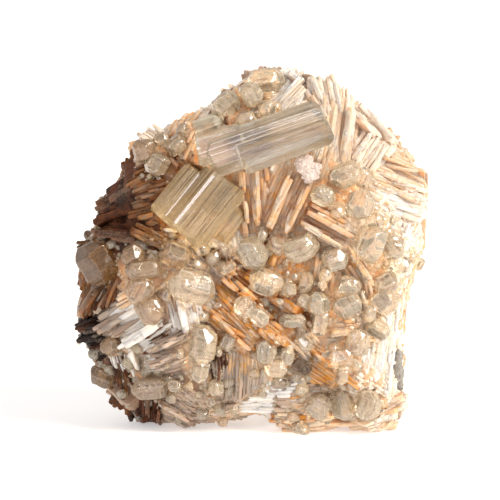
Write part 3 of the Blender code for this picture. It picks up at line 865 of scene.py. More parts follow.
def vertex_rows(mesh: Mesh, normals: bool = False) -> np.ndarray:
    """Reads a mesh's vertex places, or its vertex normals, as rows."""
    rows = np.empty(len(mesh.vertices) * 3, np.float32)
    if normals:
        mesh.vertex_normals.foreach_get("vector", rows)
    else:
        mesh.vertices.foreach_get("co", rows)
    return rows.reshape(-1, 3).astype(np.float64)


def write_rows(mesh: Mesh, rows: np.ndarray) -> None:
    """Moves a mesh's vertices to these rows of places."""
    mesh.vertices.foreach_set("co", rows.astype(np.float32).ravel())
    mesh.update()


def write_attribute(mesh: Mesh, name: str, rows: np.ndarray) -> None:
    """Stores an attribute of the vertices.

    Args:
        mesh: The mesh.
        name: The attribute's name.
        rows: One number, vector or colour for each vertex.
    """
    width = rows.shape[1] if rows.ndim > 1 else 1
    kinds = {1: ("FLOAT", "value"), 3: ("FLOAT_VECTOR", "vector"), 4: ("FLOAT_COLOR", "color")}
    kind, key = kinds[width]
    attribute = mesh.attributes.new(name, kind, "POINT")
    attribute.data.foreach_set(key, rows.astype(np.float32).ravel())


def noise_rows(points: np.ndarray, pitch: float) -> np.ndarray:
    """Reads smooth noise at rows of places."""
    return np.array([noise.noise(Vector(point) / pitch) for point in points])


def fractal_rows(points: np.ndarray, grain: float) -> np.ndarray:
    """Reads rough noise at rows of places."""
    return np.array([noise.fractal(Vector(point) / grain, 1.0, 2.0, 3) for point in points])


def random_way(dice: random.Random) -> Vector:
    """Draws a direction, of any length."""
    return Vector([dice.gauss(0, 1) for _ in range(3)])


def nearness(points: np.ndarray, areas: Iterable[Area], reach: float) -> np.ndarray:
    """Tells how near places are to areas of the show face.

    Args:
        points: Rows of x, y and z.
        areas: The areas.
        reach: Where the share ends, in radii.

    Returns:
        A share for each row, 1 in the middle of an area.
    """
    at = PICTURE.steps(points)
    share = np.zeros(len(points))
    for area in areas:
        gap = np.hypot(at[:, 0] - area.across, at[:, 1] - area.down)
        share = np.maximum(share, np.clip(reach - gap / area.radius, 0, 1))
    return share


def roughen(obj: Object, grain: float, relief: float) -> None:
    """Moves an object's surface in and out.

    Args:
        obj: The object.
        grain: How wide the lumps are.
        relief: How far they stand out.
    """
    points = vertex_rows(obj.data)
    lift = fractal_rows(points, grain) * relief
    write_rows(obj.data, points + vertex_rows(obj.data, normals=True) * lift[:, None])


def hand_over(obj: Object, slot: Slot, *nodes: str) -> None:
    """Attaches a finished piece to the body, hides the CAD nodes that it stands for, and logs its
    triangles.

    Args:
        obj: The piece.
        slot: Not used.
        *nodes: The CAD nodes that it stands for.
    """
    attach(obj, BODY)
    if nodes:
        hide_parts(*nodes)
    triangles = sum(len(p.vertices) - 2 for p in obj.data.polygons)
    LOG.info("%s: %d triangles, for %s", obj.name, triangles, ", ".join(nodes) or "no node")


class StainMap:
    """Tells how the baryte is stained at any place."""

    side = 17 * MM
    top = 44 * MM
    nub = (12 * MM, 22 * MM)
    pale = (Tone.CREAM, Tone.PEACH, Tone.PEACH, Tone.HONEY, Tone.ASH)
    umber = (Tone.UMBER, Tone.UMBER, Tone.RUST, Tone.ASH, Tone.RUST)
    patch = 9 * MM

    def __init__(self, seed: int = 5) -> None:
        """Gathers the places whose stain is known.

        Args:
            seed: Seed of the stains of the sides and the back.
        """
        known = [((sheaf.across, sheaf.down), sheaf.tone) for sheaf in SHEAVES]
        known += [(place, tone) for tone, places in PATCHES.items() for place in places]
        self.places = np.array([place for place, _ in known], float)
        self.tones = [tone for _, tone in known]
        self.dice = random.Random(seed)
    def tone(self, point: Vector, out: Vector) -> Tone:
        """Picks the tone of a stack.

        Args:
            point: Its middle.
            out: The direction that it grows in.

        Returns:
            The tone.
        """
        facing = out.dot(VIEWER)
        if facing > SHOWN_FROM:
            at = PICTURE.steps(np.array([point]))[0]
            at = at + np.array([self.dice.gauss(0, 5), self.dice.gauss(0, 5)])
            gaps = np.hypot(*(self.places - at).T)
            return self.tones[int(gaps.argmin())]
        if point.x < -self.side:
            if self.nub[0] < point.z < self.nub[1] and facing > -0.4:
                return Tone.NIGHT
            return self.dice.choice(self.umber)
        if point.x > self.side:
            return self.dice.choice(self.pale)
        if point.z > self.top:
            return self.dice.choice((Tone.CREAM, Tone.PEACH, Tone.ASH))
        patch = noise.noise(point / self.patch) + self.dice.uniform(-0.15, 0.15)
        if patch > 0.22:
            return self.dice.choice((Tone.AMBER, Tone.RUST, Tone.HONEY))
        if patch < -0.24:
            return self.dice.choice((Tone.ASH, Tone.UMBER))
        return self.dice.choice(self.pale)

    def rows(self, points: np.ndarray, reach: float = 16.0) -> np.ndarray:
        """Blends the stains at many places.

        Args:
            points: Rows of x, y and z.
            reach: How far a known place counts, in picture steps.

        Returns:
            Rows of amber, umber, frost and ash.
        """
        at = PICTURE.steps(points)
        tones = np.array([tone.value for tone in self.tones])
        gaps = np.linalg.norm(at[:, None, :] - self.places[None, :, :], axis=2)
        weights = np.exp(-((gaps / reach) ** 2)) + 1e-9
        return (weights @ tones) / weights.sum(axis=1, keepdims=True)


class SheafMap:
    """Tells which sheaf of the show face a place belongs to."""

    def __init__(self) -> None:
        """Gathers the sheaves' places, directions and sizes."""
        self.places = np.array([(sheaf.across, sheaf.down) for sheaf in SHEAVES], float)
        turns = np.radians([sheaf.angle for sheaf in SHEAVES])
        self.ways = np.stack([np.cos(turns), -np.sin(turns)], axis=1)
        self.sizes = np.array([(sheaf.length, sheaf.width) for sheaf in SHEAVES], float)

    def owner(self, point: Vector) -> int:
        """Finds the sheaf that a place belongs to.

        Args:
            point: The place.

        Returns:
            The sheaf's number.
        """
        gap = PICTURE.steps(np.array([point]))[0] - self.places
        along = (gap * self.ways).sum(axis=1)
        aside = gap[:, 0] * self.ways[:, 1] - gap[:, 1] * self.ways[:, 0]
        size = self.sizes + 8
        return int(np.hypot(along / size[:, 0], aside / size[:, 1]).argmin())

    def agrees(self, point: Vector, home: int, most: float = 24.0) -> bool:
        """Tells whether a blade of one sheaf may stand at a place."""
        turn = abs(SHEAVES[self.owner(point)].angle - SHEAVES[home].angle) % 180
        return min(turn, 180 - turn) < most


def bareness(points: Iterable[Vector]) -> np.ndarray:
    """Tells how bare of blades places of the sides and the back are, from 0 to 1."""
    return np.clip(noise_rows(points, BARE_PATCH) * 8 - 0.6, 0, 1)


@dataclass
class HiddenSheafMap:
    """The sheaves of the sides and the back, each with a middle, a direction and a tone."""

    spacing: float = 7.0 * MM
    overlap: float = 0.7 * MM
    seed: int = 43
    ways: list[Vector] = field(default_factory=list)
    tones: list[Tone] = field(default_factory=list)
    places: np.ndarray = field(default_factory=lambda: np.empty((0, 3)))

    def plan(self, skin: Object, stain_map: StainMap) -> None:
        """Chooses the sheaves.

        Args:
            skin: The rock's smoothed surface.
            stain_map: Tells how the rock is stained.
        """
        dice = random.Random(self.seed)
        faces = [
            face for face in skin.data.polygons
            if Vector(face.normal).dot(VIEWER) <= SHOWN_FROM
        ]
        dice.shuffle(faces)
        middles: list[Vector] = []
        for face in faces:
            point = Vector(face.center)
            if any((point - other).length < self.spacing for other in middles):
                continue
            middles.append(point)
            self.ways.append(random_way(dice))
            self.tones.append(stain_map.tone(point, Vector(face.normal)))
        self.places = np.array(middles)

    def owner(self, point: Vector) -> int:
        """Finds the sheaf whose middle is nearest."""
        return int(np.linalg.norm(self.places - np.array(point), axis=1).argmin())

    def agrees(self, point: Vector, home: int) -> bool:
        """Tells whether a blade of one sheaf may stand at a place."""
        gaps = np.linalg.norm(self.places - np.array(point), axis=1)
        return bool(gaps[home] < gaps.min() + self.overlap)


class Terrain:
    """The rock and the crystals as solids to feel for."""

    def __init__(self) -> None:
        """Builds the search trees from the CAD nodes."""
        rock = merged(["baryte_matrix"])
        self.rock = BVHTree.FromBMesh(rock)
        rock.free()
        others = merged(name for name in sorted(frame["nodes"]) if name != "baryte_matrix")
        self.crystals = BVHTree.FromBMesh(others)
        others.free()
        self.low, self.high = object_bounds()

    def height(self, point: Vector, out: Vector, reach: float = 9 * MM) -> Optional[float]:
        """Feels for the rock along a direction.

        Args:
            point: A place near its surface.
            out: The direction that leads off the rock.
            reach: How far to look to each side.

        Returns:
            How far the surface lies from the place along out, or None.
        """
        hit, _, _, away = self.rock.ray_cast(point + out * reach, -out, 2 * reach)
        return None if hit is None else reach - away

    def covers(self, point: Vector, out: Vector, reach: float = 5 * MM) -> bool:
        """Tells whether something at this place would hide a crystal or stand in one.

        Args:
            point: The place.
            out: The direction that it grows in.
            reach: How far behind it a crystal counts.

        Returns:
            Whether the place should stay bare.
        """
        for way in (-out, -VIEWER):
            if out.dot(way) < 0.2 and self.crystals.ray_cast(point, way, reach)[0] is not None:
                return True
        if self.crystals.find_nearest(point, 0.4 * MM)[0] is not None:
            return True
        hit, normal, _, _ = self.crystals.ray_cast(point, out, reach)
        return hit is not None and normal.dot(out) > 0

    def holds(self, point: Vector, margin: float) -> bool:
        """Tells whether a place lies inside the CAD model's box, widened by a margin."""
        return all(
            self.low[axis] - margin <= point[axis] <= self.high[axis] + margin for axis in range(3)
        ) and point.z > 0.2 * MM


class Blade(NamedTuple):
    """One baryte blade, ready to be placed."""

    centre: Vector
    turn: Euler
    size: tuple[float, float, float]
    stains: tuple[float, float, float, float]
    shape: int


@dataclass
class BladeShapes:
    """The blades that every stack is made from, each one unit long, thick and high."""

    count: int = 14
    seed: int = 31
    slant: float = 0.06
    ridge: float = 0.25
    lane: tuple[float, float, float] = (2.0, 3.5, 9.0)
    name: str = "blade_shapes"

    def crest(self, dice: random.Random) -> list[tuple[float, float, float]]:
        """Draws the curved, stepped line of a blade's crest.

        Args:
            dice: Where its random numbers come from.

        Returns:
            Places along the blade, with the crest's height and the blade's thickness there.
        """
        fall = dice.uniform(0.06, 0.2)
        power = dice.choice((3, 4, 6))
        cut = dice.uniform(-0.1, 0.2)
        step = dice.choice((0.0, 0.04, -0.05, 0.07))
        points = []
        for along in (-0.5, -0.41, -0.2, cut - 0.012, cut + 0.012, 0.36, 0.5):
            level = -fall * abs(2 * along) ** power - (step if along > cut else 0.0)
            level += dice.uniform(-0.015, 0.015)
            thick = 1.0 - 0.2 * abs(2 * along) ** 6
            points.append((along, level, thick))
        return points

    def shape(self, index: int) -> Mesh:
        """Builds one blade.

        Args:
            index: Its number.

        Returns:
            The blade.
        """
        dice = random.Random(self.seed + index)
        bm = bmesh.new()
        bow = dice.uniform(-0.7, 0.7)
        ridge = dice.uniform(-self.ridge, self.ridge)
        rows = []
        for along, level, thick in self.crest(dice):
            bend = bow * (0.25 - along * along)
            rows.append([
                bm.verts.new((along, side * thick + bend, level - drop))
                for side, drop in ((-0.5, self.slant), (ridge, 0), (0.5, self.slant))
            ])
        low = []
        for along in (rows[0][0].co.x, rows[-1][0].co.x):
            bend = bow * (0.25 - along**2)
            low.append([bm.verts.new((along * 0.94, side + bend, -1)) for side in (-0.5, 0.5)])
        for near, far in zip(rows, rows[1:]):
            for k in range(2):
                bm.faces.new((near[k], far[k], far[k + 1], near[k + 1]))
        (a, b), (c, d) = low
        bm.faces.new([row[0] for row in rows] + [c, a])
        bm.faces.new([row[2] for row in rows] + [d, b])
        bm.faces.new(rows[0] + [b, a])
        bm.faces.new(rows[-1] + [d, c])
        bm.faces.new((a, b, d, c))
        bmesh.ops.recalc_face_normals(bm, faces=bm.faces)
        mesh = mesh_from(f"{self.name}_{index:02d}", bm)
        points = vertex_rows(mesh)
        # The crest value falls toward the root; the finish darkens the lower part by it, partly as
        # painted shade.
        write_attribute(mesh, "crest", np.clip(1 + points[:, 2], 0, 1))
        write_attribute(mesh, "lane", points * np.array(self.lane))
        return mesh

    def collection(self) -> Collection:
        """Builds every blade shape, in a collection of its own."""
        return shape_collection(self.name, map(self.shape, range(self.count)))


def shape_collection(name: str, meshes: Iterable[Mesh]) -> Collection:
    """Puts the shapes that a tree stands on points into a collection.

    Args:
        name: The collection's name.
        meshes: The shapes.

    Returns:
        The collection.
    """
    made = bpy.data.collections.new(name)
    bpy.context.scene.collection.children.link(made)
    for mesh in meshes:
        made.objects.link(bpy.data.objects.new(mesh.name, mesh))
    return made


def drop(collection: Collection) -> None:
    """Removes a collection and its objects."""
    for shape in list(collection.objects):
        bpy.data.objects.remove(shape)
    bpy.data.collections.remove(collection)


def scatter_tree(name: str) -> NodeTree:
    """Builds the tree that stands a shape from a collection on every point.

    Each point brings its shape's number, turn and size as attributes.

    Args:
        name: The tree's name.

    Returns:
        The tree, with the inputs Shapes, Finish and Rim.
    """
    graph, given = new_tree(
        name, "Geometry",
        {"Geometry": "Geometry", "Shapes": "Collection", "Finish": "Material", "Rim": "Material"},
        {"Geometry": "Geometry"},
    )
    stood = graph.instances({
        "Points": given["Geometry"], "Instance": given["Shapes"],
        "Instance Index": graph.named("shape", "INT"),
        "Rotation": graph.named("turn", "FLOAT_VECTOR"), "Scale": graph.named("size", "FLOAT_VECTOR"),
    })
    dressed = graph.finished(stood, given["Finish"])
    rimmed = graph.finished(dressed, given["Rim"], Selection=graph.named("edge", "BOOLEAN"))
    graph.add("NodeGroupOutput", {0: rimmed})
    return graph.tree


def standing_points(
    name: str, places: Sequence[Vector], turns: Sequence[Euler],
    sizes: Sequence[tuple[float, float, float]], shapes: Sequence[int],
) -> Object:
    """Makes an object of the points that shapes are stood on.

    Args:
        name: The object's name.
        places: The points.
        turns: The turn of each one's shape.
        sizes: The size of each one's shape.
        shapes: The number of each one's shape.

    Returns:
        The object.
    """
    mesh = bpy.data.meshes.new(name)
    mesh.from_pydata(places, [], [])
    write_attribute(mesh, "turn", np.array([tuple(turn) for turn in turns]))
    write_attribute(mesh, "size", np.array(sizes))
    numbers = mesh.attributes.new("shape", "INT", "POINT")
    numbers.data.foreach_set("value", np.array(shapes, np.int32))
    return linked(name, mesh)


def grown(obj: Object, tree: NodeTree, **inputs: object) -> Object:
    """Runs a Geometry Nodes tree on an object, and makes what it gives a plain mesh.

    Args:
        obj: The object.
        tree: The tree.
        **inputs: The tree's inputs by name, which are set by their sockets' identifiers.

    Returns:
        The same object.
    """
    modifier = obj.modifiers.new("growth", "NODES")
    modifier.node_group = tree
    sockets = {item.name: item for item in tree.interface.items_tree if item.in_out == "INPUT"}
    for name, value in inputs.items():
        modifier[sockets[name].identifier] = value
    return settle(obj)


@dataclass
class Stack:
    """A stack of parallel blades that share a sheaf, a direction and a tone."""

    centre: Vector
    along: Vector
    out: Vector
    length: float
    width: float
    fan: float
    proud: float
    tone: Tone
    pitch: float
    fits: Callable[[Vector], bool]


class Spread(NamedTuple):
    """How stacks are spread over the rock: their distance, and the spans of their measures."""

    spacing: float
    length: tuple[float, float]
    width: tuple[float, float]
    proud: tuple[float, float]
    jitter: float
    seed: int
    fills: bool


WIDE_SPREAD = Spread(
    3.1 * MM, (6.0 * MM, 10.0 * MM), (3.5 * MM, 6.5 * MM), (0.2 * MM, 0.8 * MM), 1.5, 78, False
)
FILLING_SPREAD = Spread(
    2.0 * MM, (2.2 * MM, 4.0 * MM), (1.8 * MM, 3.2 * MM), (-0.3 * MM, 0.3 * MM), 4.0, 79, True
)


@dataclass
class BladeField:
    """All the fine blades of the matrix, in stacks that cover the rock."""

    terrain: Terrain
    stain_map: StainMap
    sheaf_map: SheafMap = field(default_factory=SheafMap)
    hidden_map: HiddenSheafMap = field(default_factory=HiddenSheafMap)
    seed: int = 77
    samples: int = 9
    shortest: int = 3
    root: float = 3.4 * MM
    thickest: float = 2.2 * MM
    most_in_piece: int = 4200
    wave: float = 0.09 * MM
    wave_length: float = 1.1 * MM
    broad_from: float = -18 * MM
    broad_above: float = 26 * MM
    broadness: float = 1.7
    swerve: float = 0.16
    strays: float = 0.3
    fineness: float = 0.6
    fineness_spread: float = 0.7
    fineness_behind: float = 0.8
    massive_corner: tuple[float, float] = (385, 215)
    umber_until: float = 155
    blades: list[Blade] = field(default_factory=list)

    def grow(self, stack: Stack, dice: random.Random) -> None:
        """Grows the blades of a stack.

        Args:
            stack: The stack.
            dice: Where its random numbers come from.
        """
        centre, out = stack.centre, stack.out
        along = (stack.along - out * stack.along.dot(out)).normalized()
        aside = out.cross(along)
        dark = stack.tone in (Tone.UMBER, Tone.NIGHT)
        if dark and centre.x < self.broad_from and centre.z > self.broad_above:
            stack.pitch *= self.broadness
            stack.proud *= 0.4
        count = max(1, round(stack.width / stack.pitch))
        for index in range(count):
            share = (index + 0.5) / count - 0.5
            turn = math.radians(stack.fan * share + dice.uniform(-1.3, 1.3))
            way = along * math.cos(turn) + aside * math.sin(turn)
            off = way * dice.uniform(-0.12, 0.12) * stack.length
            base = centre + aside * share * stack.width + off
            self.blade(stack, base, way, stack.length * dice.uniform(0.75, 1.05), dice)

    def blade(self, stack: Stack, base: Vector, way: Vector, length: float, dice: random.Random) -> None:
        """Grows one blade, cut short where it would stand over a crystal or another sheaf.

        Args:
            stack: The stack that it belongs to.
            base: Its middle, near the rock's surface.
            way: The direction of its crest.
            length: The length of its crest.
            dice: Where its random numbers come from.
        """
        out = stack.out
        ends = []
        for place in (-0.34, 0.34):
            spots = [base + way * length * (place + shift) for shift in (-0.1, 0.0, 0.1)]
            heights = [self.terrain.height(spot, out) for spot in spots]
            heights = [height for height in heights if height is not None]
            if not heights:
                return
            ends.append(max(heights))
        slope = max(-0.45, min(0.45, (ends[1] - ends[0]) / (0.68 * length)))
        way = (way + out * slope).normalized()
        up = (out - way * out.dot(way)).normalized()
        lift = sum(ends) / 2 + stack.proud * dice.uniform(0.7, 1.05)
        crest = base + out * lift
        run, first = self.free_run(stack.fits, crest, way * length, up)
        if run < self.shortest:
            return
        if run < self.samples:
            middle = (first + (run - 1) / 2) / (self.samples - 1) - 0.5
            crest = crest + way * length * middle
            length = length * run / self.samples
        axes = Matrix((way, up.cross(way), up)).transposed()
        height = self.root + stack.proud * 0.5
        thick = min(stack.pitch * dice.uniform(0.8, 1.2), self.thickest)
        mellow = dice.uniform(0.75, 1.15)
        stains = tuple(
            min(1.0, max(0.0, value * mellow + dice.gauss(0, 0.05))) for value in stack.tone.value
        )
        shape = dice.randrange(BladeShapes.count)
        self.blades.append(Blade(crest, axes.to_euler(), (length, thick, height), stains, shape))

    def free_run(
        self, fits: Callable[[Vector], bool], crest: Vector, reach: Vector, up: Vector
    ) -> tuple[int, int]:
        """Finds the longest part of a crest that may stand.

        Args:
            fits: Tells whether the sheaf may stand at a place.
            crest: The middle of the crest.
            reach: The crest from end to end.
            up: The direction off the rock.

        Returns:
            How many samples the part holds, and the number of the first.
        """
        free = []
        for number in range(self.samples):
            spot = crest + reach * (number / (self.samples - 1) - 0.5)
            stands = fits(spot) and self.terrain.holds(spot, 0.4 * MM)
            free.append(stands and not self.terrain.covers(spot, up))
        best, start = (0, 0), None
        for number, is_free in enumerate([*free, False]):
            if is_free and start is None:
                start = number
            elif not is_free and start is not None:
                best = max(best, (number - start, -start))
                start = None
        return best[0], -best[1]

    def named_stacks(self) -> None:
        """Grows the stacks of the show face that the solids have too."""
        dice = random.Random(self.seed)
        out = VIEWER
        for home, sheaf in enumerate(SHEAVES):
            start = PICTURE.outside(PICTURE.point(sheaf.across, sheaf.down))
            hit = self.terrain.rock.ray_cast(start, -out)[0]
            if hit is not None:
                self.grow(Stack(
                    hit, PICTURE.direction(sheaf.angle), out, sheaf.length * PICTURE.step * 1.05,
                    sheaf.width * PICTURE.step * 1.15, sheaf.fan, 0.5 * MM, sheaf.tone,
                    sheaf.pitch * self.fineness * MM, partial(self.sheaf_map.agrees, home=home),
                ), dice)
        LOG.info("%d blades in named stacks", len(self.blades))

    def spread_stacks(self, skin: Object, spread: Spread) -> None:
        """Grows stacks over the whole rock.

        Args:
            skin: The rock's smoothed surface.
            spread: Their distance and measures.
        """
        dice = random.Random(spread.seed)
        kept: list[Vector] = []
        faces = list(skin.data.polygons)
        dice.shuffle(faces)
        for face in faces:
            point, normal = Vector(face.center), Vector(face.normal)
            if normal.z < -0.85 or point.z < 0.8 * MM:
                continue
            if any((point - other).length < spread.spacing for other in kept):
                continue
            kept.append(point)
            shown = normal.dot(VIEWER) > 0.2
            if shown:
                home = self.sheaf_map.owner(point)
                fits = partial(self.sheaf_map.agrees, home=home)
                along = PICTURE.direction(SHEAVES[home].angle + dice.gauss(0, spread.jitter))
                out = (normal * 0.35 + VIEWER * 0.65).normalized()
                tone = self.stain_map.tone(point, out)
            else:
                if bareness([point])[0] > 0.3:
                    continue
                home = self.hidden_map.owner(point)
                fits = partial(self.hidden_map.agrees, home=home)
                along = self.hidden_map.ways[home] + self.swerve * random_way(dice)
                out = normal
                tone = self.hidden_map.tones[home]
                if dice.random() < self.strays:
                    tone = self.stain_map.tone(point, out)
            across, down = PICTURE.steps(np.array([point]))[0]
            left, top = self.massive_corner
            massive = shown and tone is Tone.WHITE and across > left and down > top
            if massive and dice.random() < 0.75:
                continue
            if shown and tone is Tone.UMBER and (across > self.umber_until or spread.fills):
                continue
            fineness = self.fineness_spread if shown else self.fineness_behind
            pitch = dice.uniform(0.8, 1.2) * MM * fineness
            self.grow(Stack(
                point, along, out, dice.uniform(*spread.length), dice.uniform(*spread.width),
                dice.uniform(-4, 4), dice.uniform(*spread.proud), tone, pitch, fits,
            ), dice)
        LOG.info("%d spread stacks, %d blades so far", len(kept), len(self.blades))

    def pieces(self, finish: Material) -> list[Object]:
        """Turns the blades into meshes.

        Args:
            finish: The material.

        Returns:
            The pieces, none with too many faces.
        """
        noise.seed_set(self.seed)
        shapes = BladeShapes().collection()
        tree = scatter_tree("blade_scatter")
        ordered = sorted(self.blades, key=lambda blade: (
            blade.turn.to_matrix().col[2].dot(VIEWER) < SHOWN_FROM, -blade.centre.z
        ))
        made = []
        for number, start in enumerate(range(0, len(ordered), self.most_in_piece), 1):
            part = ordered[start : start + self.most_in_piece]
            centres, turns, sizes, stains, kinds = zip(*part)
            obj = standing_points(f"blades_{number}", centres, turns, sizes, kinds)
            write_attribute(obj.data, "stains", np.array(stains))
            made.append(grown(obj, tree, Shapes=shapes, Finish=finish, Rim=finish))
            points = vertex_rows(obj.data)
            waves = [noise.noise_vector(Vector(point) / self.wave_length) for point in points]
            write_rows(obj.data, points + np.array(waves) * self.wave)
        drop(shapes)
        return made


@dataclass
class Rock:
    """The body of the matrix, between and behind the blades."""

    stain_map: StainMap
    voxel: float = 0.5 * MM
    skin_voxel: float = 1.5 * MM
    smoothing: int = 14
    grain: float = 1.3 * MM
    relief: float = 0.34 * MM
    sunk: float = 0.25 * MM
    lump: float = 0.8 * MM
    lump_height: float = 0.35 * MM
    cover: float = 0.75 * MM
    cover_behind: float = 0.3 * MM
    patch: float = 4 * MM
    pale: tuple[float, float, float, float] = (0.62, 0.06, 0.08, 0.08)

    def skin(self) -> Object:
        """Makes the smoothed surface that stacks are spread over.

        Returns:
            An object that isn't a piece.
        """
        obj = evened("rock_skin", "baryte_matrix", self.skin_voxel)
        bm = bmesh.new()
        bm.from_mesh(obj.data)
        axes = {f"use_axis_{axis}": True for axis in "xyz"}
        for _ in range(self.smoothing):
            bmesh.ops.smooth_vert(bm, verts=bm.verts, factor=0.5, **axes)
        bm.to_mesh(obj.data)
        bm.free()
        return obj

    def mark_grit(self, obj: Object, areas: Iterable[Area], behind: float) -> None:
        """Marks where tiny crystals cover the rock.

        Args:
            obj: The rock.
            areas: Where they are on the show face.
            behind: How dense they are in the bare patches of the sides and the back.
        """
        points = vertex_rows(obj.data)
        facing = vertex_rows(obj.data, normals=True) @ np.array(VIEWER)
        grit = np.where(facing > 0.0, nearness(points, areas, 1.3), bareness(points) * behind)
        grit[points[:, 2] < 0.8 * MM] = 0
        if "grit" in obj.data.attributes:
            obj.data.attributes.remove(obj.data.attributes["grit"])
        write_attribute(obj.data, "grit", grit)

    def build(self, finish: Material) -> Object:
        """Builds the rock.

        Args:
            finish: The material.

        Returns:
            The piece.
        """
        obj = evened("matrix_rock", "baryte_matrix", self.voxel, finish)
        points = vertex_rows(obj.data)
        normals = vertex_rows(obj.data, normals=True)
        facing = normals @ np.array(VIEWER)
        ground = [Area(c.across, c.down, 0.75 * c.length) for c in CRYSTALS if c.across > 105]
        mush = nearness(points, CLUSTERS + ground, 1.5) * np.clip(facing * 2, 0, 1)
        mush = mush * np.clip(0.5 + 1.6 * noise_rows(points, self.patch), 0, 1)
        behind = np.clip(-4 * facing, 0, 1) * bareness(points)
        lumps = noise_rows(points, self.lump) * self.lump_height
        lift = fractal_rows(points, self.grain) * self.relief - self.sunk
        lift += behind * (self.cover_behind + lumps)
        lift += mush * (self.cover + lumps)
        lift[points[:, 2] < 0.4 * MM] = 0
        write_rows(obj.data, points + normals * lift[:, None])
        stains = self.stain_map.rows(points)
        share = np.clip(mush * (1.3 - 0.7 * stains[:, 0]), 0, 0.9)[:, None]
        stains = stains * (1 - share) + np.array(self.pale) * share
        write_attribute(obj.data, "stains", stains)
        # Lower places of the rock get a lower crest value, and so the darker colours: partly stain,
        # partly painted shade.
        crest = np.clip(0.78 + (lift + self.sunk) / (0.8 * MM), 0.0, 1.0)
        write_attribute(obj.data, "crest", crest + 0.25 * stains[:, 2])
        return obj


